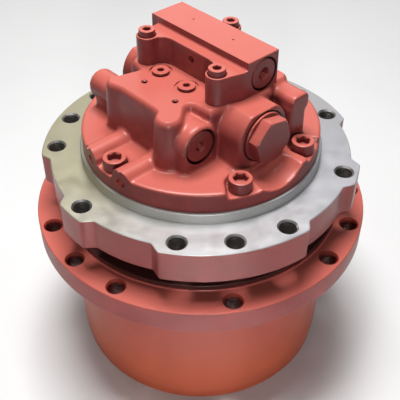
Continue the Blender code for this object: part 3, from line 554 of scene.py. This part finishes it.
# Painted shade for the seal gap, the underside of the frame flange and the recesses round plugs.
RECESS_SHADE_PAINT = paint("painted_shade_red_enamel", 0.00001, 0.42, RED_PAINTED_SHADE, RED_PAINTED_SHADE, RED_PAINTED_SHADE)
SCREW_PAINT = paint("screw_red_enamel", 0.00002, 0.26, RED_DEEP, RED_DEEP, RED, top=RED_PAINTED_TOP_LIGHT)
# The second and third colours of the turned steels are painted reflection, beige at one side and grey at
# another.
FACE_STEEL = turned_steel("turned_face_steel", (0.78, 0.78, 0.79), (0.50, 0.46, 0.31),
                          (0.50, 0.49, 0.53), 0.32, 0.8)
PILOT_STEEL = turned_steel("turned_pilot_steel", (0.55, 0.55, 0.54), (0.40, 0.38, 0.30),
                           (0.42, 0.42, 0.44), 0.34, 0.8)
CHAMFER_STEEL = steel("chamfer_steel", (0.85, 0.85, 0.84), (0.70, 0.69, 0.66), 0.3)
THREAD_STEEL = steel("thread_steel", (0.38, 0.38, 0.36), (0.22, 0.21, 0.19), 0.38)
THREAD_PAINT = paint("thread_red_enamel", 0.00005, 0.35, (0.16, 0.020, 0.012), (0.24, 0.03, 0.02),
                     (0.30, 0.05, 0.03))
GEAR_STEEL = steel("oiled_gear_steel", (0.33, 0.33, 0.34), (0.22, 0.20, 0.19), 0.28)
GROUND_STEEL = steel("ground_bearing_steel", (0.62, 0.61, 0.59), (0.50, 0.49, 0.47), 0.16)
ZINC = steel("zinc_plate", (0.55, 0.56, 0.54), (0.50, 0.50, 0.40), 0.3)
LINING = steel("sintered_lining", (0.05, 0.05, 0.055), (0.09, 0.085, 0.08), 0.55, 0.6, 0.00006)
BRONZE = steel("bearing_bronze", (0.60, 0.38, 0.16), (0.48, 0.28, 0.11), 0.3)
FINISHES = {
    "red_paint": SCREW_PAINT,
    "bright_steel": GROUND_STEEL,
    "plated_steel": ZINC,
    "gear_steel": GEAR_STEEL,
    "black_oxide": LINING,
    "bronze": BRONZE,
}


# Tapped holes

def thread_profile(low, high):
    """Cutter for a tapped through hole: thread flanks between chamfered mouths."""
    reach = R_MOUTH - R_THREAD
    crest = R_THREAD + THREAD_DEPTH
    start = low + reach
    profile = [(0.0, low - 2.0), (R_MOUTH + 2.0, low - 2.0), (R_THREAD, start)]
    turns = int((high - low - 2.0 * reach) / THREAD_PITCH)
    for turn in range(turns):
        height = start + (turn + 0.5) * THREAD_PITCH
        profile += [(R_THREAD, height - 0.3 * THREAD_PITCH), (crest, height - 0.06 * THREAD_PITCH)]
        profile += [(crest, height + 0.06 * THREAD_PITCH), (R_THREAD, height + 0.3 * THREAD_PITCH)]
    profile += [(R_THREAD, high - reach), (R_MOUTH + 2.0, high + 2.0), (0.0, high + 2.0)]
    return profile


def flange_angles(triplets, singles):
    angles = list(singles)
    for middle in triplets:
        angles += [middle - HOLE_STEP, middle, middle + HOLE_STEP]
    return angles


def flange_holes(name, radius, triplets, singles, low, high, material):
    places = [polar(radius, angle) for angle in flange_angles(triplets, singles)]
    return lathe(name, thread_profile(low, high), 36, places, material)


# Hub and end cover

def involute(angle):
    return math.tan(angle) - angle


def ring_gear_outline():
    """Cutter with involute flanks that leaves the ring gear's teeth."""
    module = 3.25
    teeth = 60
    pressure = math.radians(25.0)
    pitch = module * teeth / 2.0
    base = pitch * math.cos(pressure)
    width = math.pi * module / 2.0 + 0.25
    outer = pitch + 1.25 * module
    inner = pitch - 0.9 * module - 1.5
    steps = 6
    sides = []
    for step in range(steps + 1):
        radius = inner + (outer - inner) * step / steps
        flank = math.acos(min(1.0, base / max(radius, base)))
        sides.append((radius, width / (2.0 * pitch) + involute(pressure) - involute(flank)))
    points = []
    for tooth in range(teeth):
        middle = TAU * tooth / teeth
        path = [(radius, middle - half) for radius, half in sides]
        path += [(radius, middle + half) for radius, half in reversed(sides)]
        points += [(radius * math.cos(angle), radius * math.sin(angle)) for radius, angle in path]
    return points


def make_hub():
    inner = 94.5
    bore = 94.3
    shoulder = 89.0
    profile = rounded([
        (104.0, Z_HUB),
        (R_HUB_LOW, Z_HUB, 1.2),
        (R_HUB_HIGH - 0.6, Z_HUB + 10.0, 6.0),
        (R_HUB_HIGH, Z_SPROCKET - 10.0, 30.0),
        (R_HUB_HIGH + 0.6, Z_SPROCKET, 7.0),
        (R_SPROCKET, Z_SPROCKET, 1.5),
        (R_SPROCKET, Z_SPROCKET_TOP, 1.4),
        (R_COLLAR, Z_SPROCKET_TOP, 1.6),
        (R_COLLAR, Z_COLLAR, 1.0),
        (R_SEAL_BORE, Z_COLLAR, 0.8),
        (R_SEAL_BORE, 160.0),
        (bore, 160.0),
        (bore, 138.0),
        (shoulder, 138.0),
        (shoulder, 132.0),
        (bore, 132.0),
        (bore, 108.0),
        (102.5, 90.0),
        (inner, 90.0),
        (inner, 16.0),
        (104.0, 16.0),
    ])
    hub = lathe("hub_casting", profile, ROUND, (WORLD,), BARREL_PAINT)
    holes = flange_holes("hub_holes", R_SPROCKET_HOLES, SPROCKET_TRIPLETS, SPROCKET_SINGLES,
                         Z_SPROCKET, Z_SPROCKET_TOP, THREAD_PAINT)
    combine(hub, "DIFFERENCE", holes)
    teeth = loft("hub_teeth", [[(x, y, z) for x, y in ring_gear_outline()] for z in (13.0, 91.0)],
                 (WORLD,), GEAR_STEEL)
    combine(hub, "DIFFERENCE", teeth)
    # Painted shade: the collar, in the gap under the frame flange, is painted near-black.
    repaint(hub, BARREL_PAINT, RECESS_SHADE_PAINT, lambda place, normal: place.z > Z_SPROCKET_TOP + 1.7)
    finished(hub, "sprocket_hub", ["hub"], sharp=TURNED_SHARP)


def make_end_cover():
    profile = rounded([
        (0.0, 0.0),
        (28.0, 0.0, 1.0),
        (34.0, 1.6, 1.5),
        (92.0, 1.6, 1.5),
        (97.0, 0.0, 1.0),
        (R_END_COVER - 1.5, 0.0, 1.5),
        (R_END_COVER, 3.0, 1.5),
        (R_END_COVER, Z_RIM, 1.2),
        (103.7, Z_RIM),
        (103.7, 15.7, 0.8),
        (0.0, 15.7),
    ])
    cover = lathe("end_cover_casting", profile, ROUND, (WORLD,), BARREL_PAINT)
    places = [polar(76.0, angle) for angle in (90.0, 210.0)]
    holes = disc("end_cover_drains", 10.3, -5.0, 20.0, FINE, places, THREAD_PAINT)
    screws = [polar(111.0, 15.0 + 30.0 * index) for index in range(12)]
    seats = disc("end_cover_seats", 7.6, -5.0, 6.0, 32, screws, SMOOTH_PAINT)
    combine(cover, "DIFFERENCE", holes, seats)
    finished(cover, "sprocket_hub", ["end_cover"])
    flip = Matrix.Rotation(math.pi, 4, "X")
    for number, place in enumerate(screws, 1):
        spot = place @ Matrix.Translation(UP * 5.8) @ flip
        screw = socket_screw("end_cover_screw_" + str(number), spot, 3.9, -0.2, 6.5, 5.6, 6.0, 3.4)
        finished(screw, "sprocket_hub")
    for number, place in enumerate(places, 1):
        spot = place @ Matrix.Translation(UP * Z_RIM) @ flip
        plug = socket_plug("drain_plug_face_" + str(number), spot, 10.0, 9.4, 10.0, 5.0, material=ZINC)
        finished(plug, "sprocket_hub", ["drain_plug_" + str(number)])


# Fixed gearbox body

def lobed_outline():
    """The frame flange: a round waist with wide lobes on three screws and narrow ones on single screws."""
    count = 720
    lobes = [(middle, 24.5, 28.8) for middle in FRAME_TRIPLETS]
    lobes += [(middle, 5.2, 9.6) for middle in FRAME_SINGLES]
    points = []
    for index in range(count):
        degrees = 360.0 * index / count
        angle = math.radians(degrees)
        rise = 0.0
        for middle, half, foot in lobes:
            off = abs((degrees - middle + 180.0) % 360.0 - 180.0)
            share = min(1.0, max(0.0, (foot - off) / (foot - half)))
            rise = max(rise, share * share * (3.0 - 2.0 * share))
        radius = R_WAIST + (R_LOBE - R_WAIST) * rise
        points.append((radius * math.cos(angle), radius * math.sin(angle)))
    return points


def make_spindle():
    seat = 74.2
    profile = rounded([
        (0.0, 96.3),
        (72.0, 96.3, 1.0),
        (72.0, 112.0),
        (seat, 112.0, 0.5),
        (seat, 158.0),
        (84.0, 158.0, 1.0),
        (84.0, 163.0, 2.0),
        (98.5, 165.0, 1.0),
        (98.5, 181.0),
        (R_SEAL_BORE, 181.0),
        (R_SEAL_BORE, Z_COLLAR + 2.0, 0.5),
        (R_SKIRT, Z_COLLAR + 2.0, 1.2),
        (R_SKIRT, Z_FRAME + 1.0),
        (R_PILOT, Z_FRAME + 1.0),
        (R_PILOT, Z_PILOT, 0.9),
        (0.0, Z_PILOT),
    ])
    spindle = lathe("spindle_casting", profile, ROUND, (WORLD,), SMOOTH_PAINT)
    levels = [(Z_FRAME, -1.2), (Z_FRAME + 0.4, -0.4), (Z_FRAME + 1.2, 0.0)]
    levels += [(Z_FRAME_TOP - 0.7, 0.0), (Z_FRAME_TOP - 0.3, -0.15), (Z_FRAME_TOP, -0.6)]
    flange = slab("spindle_flange", lobed_outline(), levels, (WORLD,), SMOOTH_PAINT)
    steps = [(34.0, 104.0), (22.0, 119.7), (31.0, 139.5), (58.0, 179.8), (70.5, Z_PILOT + 10.0)]
    bore = stepped("spindle_bore", 90.0, steps, (WORLD,), GROUND_STEEL, 96)
    holes = flange_holes("spindle_holes", R_FRAME_HOLES, FRAME_TRIPLETS, FRAME_SINGLES,
                         Z_FRAME, Z_FRAME_TOP, THREAD_STEEL)
    places = [polar(R_COVER_SCREWS, angle, COVER) for angle in COVER_SCREW_ANGLES]
    taps = disc("spindle_taps", 6.9, 201.0, Z_PILOT + 5.0, 24, places, THREAD_STEEL)
    combine(spindle, "UNION", flange)
    combine(spindle, "DIFFERENCE", bore, holes, taps)
    repaint(spindle, THREAD_STEEL, CHAMFER_STEEL, lambda place, normal: place.z > Z_FRAME_TOP - 1.6)
    repaint(spindle, SMOOTH_PAINT, PILOT_STEEL, lambda place, normal: place.z > Z_FRAME_TOP + 0.01)
    repaint(spindle, SMOOTH_PAINT, FACE_STEEL,
            lambda place, normal: place.z > Z_FRAME_TOP - 0.65 and normal.z > 0.2)
    # Painted shade: the underside of the frame flange and the skirt below it are painted near-black.
    repaint(spindle, SMOOTH_PAINT, RECESS_SHADE_PAINT, lambda place, normal: place.z < Z_FRAME + 0.01)
    finished(spindle, "fixed_body", ["spindle"], sharp=TURNED_SHARP)


# Screws and plugs

def socket_top(radius, height, edge, flats, depth):
    """Loops of a softened rim and of the hexagon socket inside it."""
    return [
        circle(radius, FINE, height - edge),
        circle(radius - 0.3 * edge, FINE, height - 0.3 * edge),
        circle(radius - edge, FINE, height),
        circle(0.6 * flats, FINE, height),
        hexagon(flats, FINE, height - 0.1 * flats),
        hexagon(flats, FINE, height - depth),
        circle(0.15 * flats, FINE, height - depth - 0.12 * flats),
    ]


def socket_screw(name, place, shank, length, head, height, flats, depth):
    """Hexagon socket screw: the head stands on z = 0 of its place and the shank runs down."""
    loops = [
        circle(shank, FINE, -length - 0.5),
        circle(shank, FINE, -0.2),
        circle(head - 0.4, FINE, -0.2),
        circle(head, FINE, 0.2),
    ]
    loops += socket_top(head, height, 0.11 * head, flats, depth)
    return loft(name, loops, (place,), SCREW_PAINT)


def socket_plug(name, place, radius, height, flats, depth, flange=0.0, flange_height=1.8,
                material=SCREW_PAINT):
    """Hexagon socket plug, from z = 0 of its place up to its outer face, with or without a flange."""
    rim = flange or radius
    loops = [circle(radius, FINE, 0.0)]
    if flange:
        shelf = height - flange_height
        loops += [circle(radius, FINE, shelf), circle(flange, FINE, shelf)]
    loops += socket_top(rim, height, 0.07 * rim, flats, depth)
    return loft(name, loops, (place,), material)


def make_cover_fittings():
    for number, angle in enumerate(COVER_SCREW_ANGLES, 1):
        seat = polar(R_COVER_SCREWS, angle, COVER) @ Matrix.Translation(UP * (Z_DISC - 6.2))
        spot = seat @ Matrix.Rotation(math.radians(23.0 * number), 4, "Z")
        screw = socket_screw("cover_screw_head_" + str(number), spot, 6.0, 34.5, 9.9, 10.8, 10.8, 6.4)
        finished(screw, "fixed_body", ["cover_screw_" + str(number)])
    for number, (a, b) in enumerate(GAUGE_PLUGS, 1):
        spot = moved(a, b, Z_PAD - 11.5, COVER)
        plug = socket_plug("gauge_plug_head_" + str(number), spot, 6.4, 13.2, 5.5, 4.0, 7.8, 2.1)
        finished(plug, "fixed_body", ["gauge_plug_" + str(number)])
    spot = facing((38.5, *BORE_1), OUT_A)
    plug = socket_plug("selector_plug_face_right", spot, 12.2, 14.1, 8.0, 6.0, 13.6, 6.8)
    finished(plug, "fixed_body", ["selector_plug_right"])
    spot = facing((BOSS_1_LEFT + 12.0, *BORE_1), -OUT_A)
    plug = socket_plug("selector_plug_face_left", spot, 9.0, 11.0, 8.0, 6.0)
    finished(plug, "fixed_body", ["selector_plug_left"])
    spot = facing((-61.4, *BORE_2), -OUT_A)
    plug = socket_plug("spool_plug_face_left", spot, 15.7, 12.0, 12.0, 7.0)
    finished(plug, "fixed_body", ["spool_plug_left"])
    make_hex_cap()
    for number, a in enumerate(RIBS, 1):
        spot = facing((a, -91.4, Z_RIB_PLUG), -OUT_B)
        plug = socket_plug("rib_plug_" + str(number), spot, 3.9, 8.0, 4.0, 3.0)
        finished(plug, "fixed_body")


def make_hex_cap():
    turn = math.radians(16.4)
    loops = [
        circle(14.7, FINE, 0.0),
        circle(14.7, FINE, 15.4),
        circle(21.0, FINE, 15.4),
        circle(21.5, FINE, 15.8),
        circle(21.5, FINE, 17.1),
        circle(21.2, FINE, 17.4),
        hexagon(36.0, FINE, 17.4, turn, 20.4),
        hexagon(36.0, FINE, 25.2, turn, 20.4),
        hexagon(35.8, FINE, 26.4, turn, 19.8),
        hexagon(35.2, FINE, 27.2, turn, 18.6),
    ]
    cap = loft("hex_cap_face_right", loops, (facing((61.0, *BORE_2), OUT_A),), SCREW_PAINT)
    finished(cap, "fixed_body", ["hex_cap_right"])


# Rear cover

def tower_outline():
    points = arc((-41.3, -59.6), 8.2, 140.0, 300.0, 14)
    points += [(-33.4, -65.6), (-30.0, -64.6), (14.0, -63.8), (17.0, -64.2)]
    points += arc(KNOB, R_KNOB, -160.0, 40.0, 20)
    points += [(28.6, -43.0), (28.2, -39.0), (30.5, -36.8), (46.5, -34.6), (48.8, -33.4), (49.6, -26.0)]
    points += [(51.0, -17.0), (58.0, -13.0), (58.0, 26.0), (52.0, 34.0)]
    points += arc((44.0, 48.0), 8.0, 10.0, 90.0, 6)
    points += arc((-34.0, 48.0), 8.0, 90.0, 135.0, 4)
    points += [(-62.0, 30.0), (-64.0, -20.0), (-58.0, -30.0), (PAD_LEFT, -34.0)]
    return points


def screw_pockets():
    """Cutter for the pockets round the cover screws: flat floors that run out through the rim."""
    floor = Z_DISC - 5.8
    levels = [(floor, 0.0), (floor + 6.0, 1.6), (floor + 14.0, 2.5)]
    pockets = []
    for angle in COVER_SCREW_ANGLES:
        place = polar(R_COVER_SCREWS, angle) @ Matrix.Rotation(math.radians(angle), 4, "Z")
        half, flare = (9.8, 1.0) if angle == COVER_SCREW_ANGLES[0] else (11.6, 1.75)
        mouth = [(30.0, -flare * half), (30.0, flare * half)]
        outline = arc((0.0, 0.0), half, 90.0, 270.0, 16) + mouth
        pockets.append(slab("cast_pocket", outline, levels, (place,)))
    return joined("cast_pockets", pockets)


def ear_masses():
    """The ear beside the spool bore: a rounded block on a narrower foot."""
    low = EAR[0] - R_EAR
    high = EAR[0] + R_EAR
    top = EAR[1] + R_EAR
    head = rounded([
        (low, top - 17.0, 2.0),
        (high, top - 17.0, 5.0),
        (high, top, 6.5),
        (low + 2.0, top, 6.5),
    ])
    ear = loft("cast_ear", [[(a, b, z) for b, z in head] for a in (30.0, 76.0)])
    foot = box_outline(28.0, low, 76.0, high - 4.0)
    return [ear, slab("cast_ear_foot", foot, [(Z_DISC - 6.0, 0.8), (EAR[1], 0.0)])]


def cover_masses():
    """The rear cover's overlapping masses, in its own directions and proud of its machined faces."""
    top = Z_PAD + 0.6
    root = Z_DISC - 5.0
    parts = [disc("cast_disc", R_DISC, Z_COVER - 5.0, Z_DISC, ROUND)]
    levels = [(root, 2.4), (Z_PAD - 4.5, 0.3), (Z_PAD - 2.8, -0.2), (Z_PAD - 1.3, -1.1), (top, -3.2)]
    parts.append(slab("cast_tower", tower_outline(), levels))
    notch = rounded([(20.0, -66.4, 2.0), (53.0, -66.4, 5.0), (53.0, -30.2, 5.0), (20.0, -30.2, 2.0)])
    parts.append(slab("cast_shelf", notch, [(root, 0.0), (BORE_1[1], 0.0)]))
    ridge = [
        (0.0, 0.0),
        (R_RIDGE, 0.0),
        (R_RIDGE, 30.6),
        (R_RIDGE - 0.8, 32.5),
        (R_RIDGE - 2.4, 33.3),
        (0.0, 33.3),
    ]
    place = facing((20.0, *BORE_1), OUT_A, UP, WORLD)
    parts.append(lathe("cast_ridge", ridge, 64, (place,)))
    place = facing((BOSS_1_LEFT - 0.3, *BORE_1), OUT_A, UP, WORLD)
    parts.append(disc("cast_boss_1", R_BOSS_1 + 0.2, 0.0, 51.3, 48, (place,)))
    web = box_outline(BOSS_1_LEFT + 3.0, -57.0, PAD_LEFT + 4.0, -40.0)
    parts.append(slab("cast_web", web, [(root, 1.0), (BORE_1[1], 0.0)]))
    left, right = SPOOL_BOSS
    place = facing((left - 0.3, *BORE_2), OUT_A, UP, WORLD)
    boss = disc("cast_boss_2", R_BOSS_2 + 0.2, 0.0, right - left + 0.6, 64, (place,))
    lid = box_outline(-90.0, -40.0, 90.0, 40.0)
    combine(boss, "DIFFERENCE", slab("cast_flat", lid, [(top, 0.0), (Z_PAD + 30.0, 0.0)]))
    parts.append(boss)
    sides = box_outline(left + 3.0, BORE_2[0] - 26.4, right - 3.0, BORE_2[0] + 26.4)
    parts.append(slab("cast_cheeks", sides, [(Z_DISC - 4.0, 2.0), (BORE_2[1], 0.0)]))
    parts += ear_masses()
    for a in RIBS:
        place = facing((a, -108.0, Z_DISC - 4.5), OUT_B, UP, WORLD)
        parts.append(disc("cast_rib", 10.7, 0.0, 50.0, 48, (place,)))
    return parts


def scoop():
    """Cutter for the sloping hollow that runs out of the disc under the hexagon cap."""
    slope = math.radians(3.0)
    reach = 36.2
    down = Vector((math.cos(slope), 0.0, -math.sin(slope)))
    normal = Vector((math.sin(slope), 0.0, math.cos(slope)))
    start = Vector((81.5, -7.0, Z_DISC - 9.4)) + normal * reach
    profile = [
        (0.0, 0.0),
        (reach - 5.0, 0.0),
        (reach - 1.4, 3.0),
        (reach, 8.0),
        (reach, 60.0),
        (0.0, 60.0),
    ]
    return lathe("cast_scoop", profile, 96, (facing(start, down, normal, WORLD),))


def turn_and_paint(casting):
    """Turns a casting to the cover's directions and gives it one coat of paint."""
    casting.data.transform(COVER)
    casting.data.materials.clear()
    casting.data.materials.append(CAST_PAINT)


def make_rear_cover():
    cell = 1.1
    cover = joined("cover_casting", cover_masses())
    cast(cover, cell)
    combine(cover, "DIFFERENCE", scoop(), screw_pockets())
    cast(cover, cell, 12)
    turn_and_paint(cover)
    face_rear_cover(cover)
    drill_rear_cover(cover)
    finished(cover, "fixed_body", ["rear_cover"])


def face_rear_cover(cover):
    """Machines the cover's bottom, pad and rim."""
    below = disc("cut_below", 150.0, Z_COVER - 20.0, Z_COVER, ROUND, material=CAST_PAINT)
    above = disc("cut_above", 150.0, Z_PAD, Z_PAD + 20.0, ROUND, material=CAST_PAINT)
    around = lathe("cut_around", [
        (R_DISC, Z_COVER - 10.0),
        (140.0, Z_COVER - 10.0),
        (140.0, Z_DISC + 6.0),
        (R_DISC, Z_DISC + 6.0),
    ], material=CAST_PAINT)
    combine(cover, "DIFFERENCE", below, above, around)


def drill_rear_cover(cover):
    """Bores the cover's seats, ports and holes."""
    screws = [polar(R_COVER_SCREWS, angle, COVER) for angle in COVER_SCREW_ANGLES]
    seats = disc("cut_seats", 10.8, Z_DISC - 6.4, Z_DISC + 12.0, FINE, screws, CAST_PAINT)
    holes = disc("cut_holes", 6.9, Z_COVER - 5.0, Z_DISC, 24, screws, CAST_PAINT)
    taps = [moved(a, b, 0.0, COVER) for a, b in BLOCK_SCREWS]
    block_taps = disc("cut_block_taps", 4.7, Z_PAD - 30.0, Z_PAD + 5.0, 24, taps, CAST_PAINT)
    gauges = [moved(a, b, 0.0, COVER) for a, b in GAUGE_PLUGS]
    steps = [(6.8, Z_PAD - 1.3), (10.35, Z_PAD + 5.0)]
    spots = stepped("cut_gauge_spots", Z_PAD - 14.0, steps, gauges, CAST_PAINT)
    place = facing((0.0, *BORE_2), OUT_A)
    steps = [(16.0, -61.0), (10.0, 59.0), (15.0, 100.0)]
    spool_bore = stepped("cut_spool_bore", -100.0, steps, (place,), CAST_PAINT)
    place = facing((53.0, *BORE_1), OUT_A)
    # Painted shade: the bore and recess round the selector plug are painted near-black.
    selector = stepped("cut_selector", -16.0, [(12.5, -6.0), (15.6, 6.0)], (place,), RECESS_SHADE_PAINT)
    place = facing((SPOOL_BOSS[1], *BORE_2), OUT_A)
    # Painted shade: the groove round the hexagon cap is painted near-black.
    groove = [(21.6, -2.4), (22.9, -2.4), (22.9, 5.0), (21.6, 5.0)]
    groove = lathe("cut_groove", groove, FINE, (place,), RECESS_SHADE_PAINT)
    pad_taps = lathe("cut_pad_taps", [
        (0.0, Z_PAD - 14.0),
        (1.8, Z_PAD - 14.0),
        (1.8, Z_PAD - 0.9),
        (2.9, Z_PAD - 0.2),
        (2.9, Z_PAD + 2.0),
        (0.0, Z_PAD + 2.0),
    ], 24, [moved(a, b, 0.0, COVER) for a, b in PAD_TAPS], THREAD_PAINT)
    place = facing((BOSS_1_LEFT, *BORE_1), -OUT_A)
    far = disc("cut_selector_far", 9.3, -14.0, 6.0, FINE, (place,), CAST_PAINT)
    places = [facing((a, 56.0, Z_DISC + 24.0), OUT_B) for a in (-26.0, 16.0)]
    ports = stepped("cut_main_ports", -26.0, [(13.0, -2.0), (18.0, 12.0)], places, CAST_PAINT)
    places = [facing((a, -104.0, Z_RIB_PLUG), -OUT_B) for a in RIBS]
    rib_ends = disc("cut_rib_ends", 4.1, -12.0, 6.0, FINE, places, CAST_PAINT)
    combine(cover, "DIFFERENCE", seats, holes, block_taps, spots, spool_bore, selector, groove, pad_taps,
            far, ports, rib_ends)


# Valve block

def block_masses():
    """The valve block's bar, its ledge with two lugs in front, and the lug behind."""
    left, right, behind = BLOCK_SCREWS
    base = Z_BLOCK - 3.0
    levels = [(base, 0.0), (Z_LEDGE, 0.0)]
    bar = slab("cast_bar", box_outline(-69.0, 1.7, 56.0, 36.4), [(base, 0.0), (Z_TOP + 3.0, 0.0)])
    front = [(-58.0, 8.0)] + arc(left, R_LUG, 180.0, 360.0, 20)
    front += [(-38.2, -14.5), (-34.5, -10.6), (-29.0, -8.6), (17.0, -8.4), (24.0, -9.6), (28.6, -14.0)]
    front += arc(right, R_LUG, 180.0, 350.0, 20)
    front += [(50.0, -13.0), (53.0, -3.0), (52.9, 8.0)]
    back = [(behind[0] + R_LUG, 30.0)] + arc(behind, R_LUG, 0.0, 180.0, 20) + [(behind[0] - R_LUG, 30.0)]
    return [bar, slab("cast_ledge", front, levels), slab("cast_lug", back, levels)]


def make_valve_block():
    block = joined("valve_block_casting", block_masses())
    cast(block, 0.8, 5)
    turn_and_paint(block)
    left, right = BLOCK_ENDS
    hull = box_outline(left, -40.0, right, 70.0)
    levels = [(Z_BLOCK, 0.0), (Z_TOP - 0.5, 0.0), (Z_TOP, -0.5)]
    combine(block, "INTERSECT", slab("block_hull", hull, levels, (COVER,), CAST_PAINT))
    spots = [moved(a, b, 0.0, COVER) for a, b in BLOCK_SCREWS]
    steps = [(4.5, Z_LEDGE - 2.6), (8.1, Z_LEDGE + 12.0)]
    holes = stepped("block_holes", Z_BLOCK - 5.0, steps, spots, CAST_PAINT)
    places = [facing((right, *BLOCK_BORE), OUT_A), facing((left, *BLOCK_BORE), -OUT_A)]
    # Painted shade: the recesses round the valve block's end plugs are painted near-black.
    ends = stepped("block_ends", -14.0, [(12.8, -5.0), (14.8, 6.0)], places, RECESS_SHADE_PAINT)
    places = [moved(a, b, 0.0, COVER) for a, b in BLOCK_PINS]
    pins = disc("block_pins", 0.9, Z_TOP - 1.6, Z_TOP + 4.0, 20, places, THREAD_PAINT)
    place = facing((-3.2, -8.4, Z_BLOCK + 15.6), -OUT_B)
    gallery = disc("block_gallery", 3.2, -9.0, 8.0, 32, (place,), THREAD_PAINT)
    combine(block, "DIFFERENCE", holes, ends, pins, gallery)
    finished(block, "fixed_body", ["valve_block"])


def make_block_fittings():
    left, right = BLOCK_ENDS
    for side, a, out in (("right", right - 13.5, OUT_A), ("left", left + 13.5, -OUT_A)):
        spot = facing((a, *BLOCK_BORE), out)
        plug = socket_plug("block_plug_face_" + side, spot, 12.5, 13.2, 9.5, 6.0, 13.1, 4.2)
        finished(plug, "fixed_body", ["block_plug_" + side])
    for number, (a, b) in enumerate(BLOCK_SCREWS, 1):
        spot = moved(a, b, Z_LEDGE - 2.3, COVER) @ Matrix.Rotation(math.radians(40.0 * number), 4, "Z")
        screw = socket_screw("block_screw_head_" + str(number), spot, 4.0, 47.5, 7.2, 7.6, 6.4, 4.2)
        finished(screw, "fixed_body", ["block_screw_" + str(number)])


# Carried-over nodes

def dress_nodes():
    slots = {part["node"]: part["material_slot"] for part in frame["record"]["subparts"]}
    for name, thing in frame["nodes"].items():
        material = FINISHES[slots[name]]
        if not thing.material_slots:
            thing.data.materials.append(material)
        for slot in thing.material_slots:
            slot.material = material


# Stage

def make_floor():
    material, tree, shader = new_material("studio_floor")
    tint = blended(tree, span(tree, noise(tree, 3.0), 0.0, 1.0), (0.76, 0.76, 0.76), (0.80, 0.80, 0.80))
    wire(tree, shader, Base_Color=tint)
    shader.inputs["Roughness"].default_value = 0.6
    reach = 6000.0
    profile = [(0.0, -20.0), (reach, -20.0), (reach, 0.0), (0.0, 0.0)]
    floor = lathe("studio_floor", profile, 96, (WORLD,), material)


def area_light(name, place, target, size, power, colour=(1.0, 1.0, 1.0), spread=180.0):
    data = bpy.data.lights.new(name, "AREA")
    data.shape = "RECTANGLE"
    data.size, data.size_y = size
    data.energy = power
    data.color = colour
    data.spread = math.radians(spread)
    light = bpy.data.objects.new(name, data)
    light.location = place
    light.rotation_euler = (Vector(target) - Vector(place)).to_track_quat("-Z", "Y").to_euler()
    bpy.context.scene.collection.objects.link(light)


def make_lights():
    centre = (0.0, 0.0, 0.2)
    area_light("overhead_softbox", (-0.1, 0.16, 1.75), centre, (0.8, 0.6), 35.0)
    area_light("background_softbox", (0.0, 2.6, 1.5), (0.0, 1.3, 0.0), (2.4, 0.8), 9.0)
    area_light("left_softbox", (-1.5, 0.5, 1.2), centre, (0.6, 0.6), 0.7, (1.0, 0.88, 0.68))
    area_light("right_softbox", (1.5, 0.6, 1.2), centre, (0.6, 0.6), 0.5, (0.86, 0.88, 1.0))
    area_light("front_softbox", (0.05, -1.8, 0.6), centre, (0.16, 0.5), 1.0, spread=50.0)
    area_light("floor_softbox", (0.02, -0.36, 1.2), (0.02, -0.36, 0.0), (0.16, 0.24), 1.3, spread=14.0)


def make_world():
    """Dim surroundings that look pale behind the floor."""
    world = bpy.data.worlds.new("studio")
    world.use_nodes = True
    tree = world.node_tree
    background = tree.nodes["Background"]
    seen = add_node(tree, "ShaderNodeLightPath").outputs["Is Camera Ray"]
    tree.links.new(span(tree, seen, 0.06, 0.80, 0.0, 1.0), background.inputs["Strength"])
    background.inputs["Color"].default_value = (1.0, 1.0, 1.0, 1.0)
    bpy.context.scene.world = world


def make_camera():
    distance = 0.680445
    elevation = math.radians(39.864)
    target = Vector((0.0, 0.0, 0.162))
    data = bpy.data.cameras.new("camera")
    data.sensor_width = 36.0
    data.lens = 63.38
    data.shift_x = -0.0017
    data.shift_y = -0.0249
    data.clip_start = 0.05
    data.clip_end = 50.0
    camera = bpy.data.objects.new("camera", data)
    back = Vector((0.0, -math.cos(elevation), math.sin(elevation)))
    roll = Matrix.Rotation(0.00402, 4, "Z")
    turn = back.to_track_quat("Z", "Y").to_matrix().to_4x4()
    camera.matrix_world = Matrix.Translation(target + back * distance) @ turn @ roll
    bpy.context.scene.collection.objects.link(camera)
    bpy.context.scene.camera = camera


dress_nodes()
make_hub()
make_end_cover()
make_spindle()
make_rear_cover()
make_cover_fittings()
make_valve_block()
make_block_fittings()
make_floor()
make_lights()
make_world()
make_camera()
bpy.context.scene.view_settings.view_transform = "Standard"
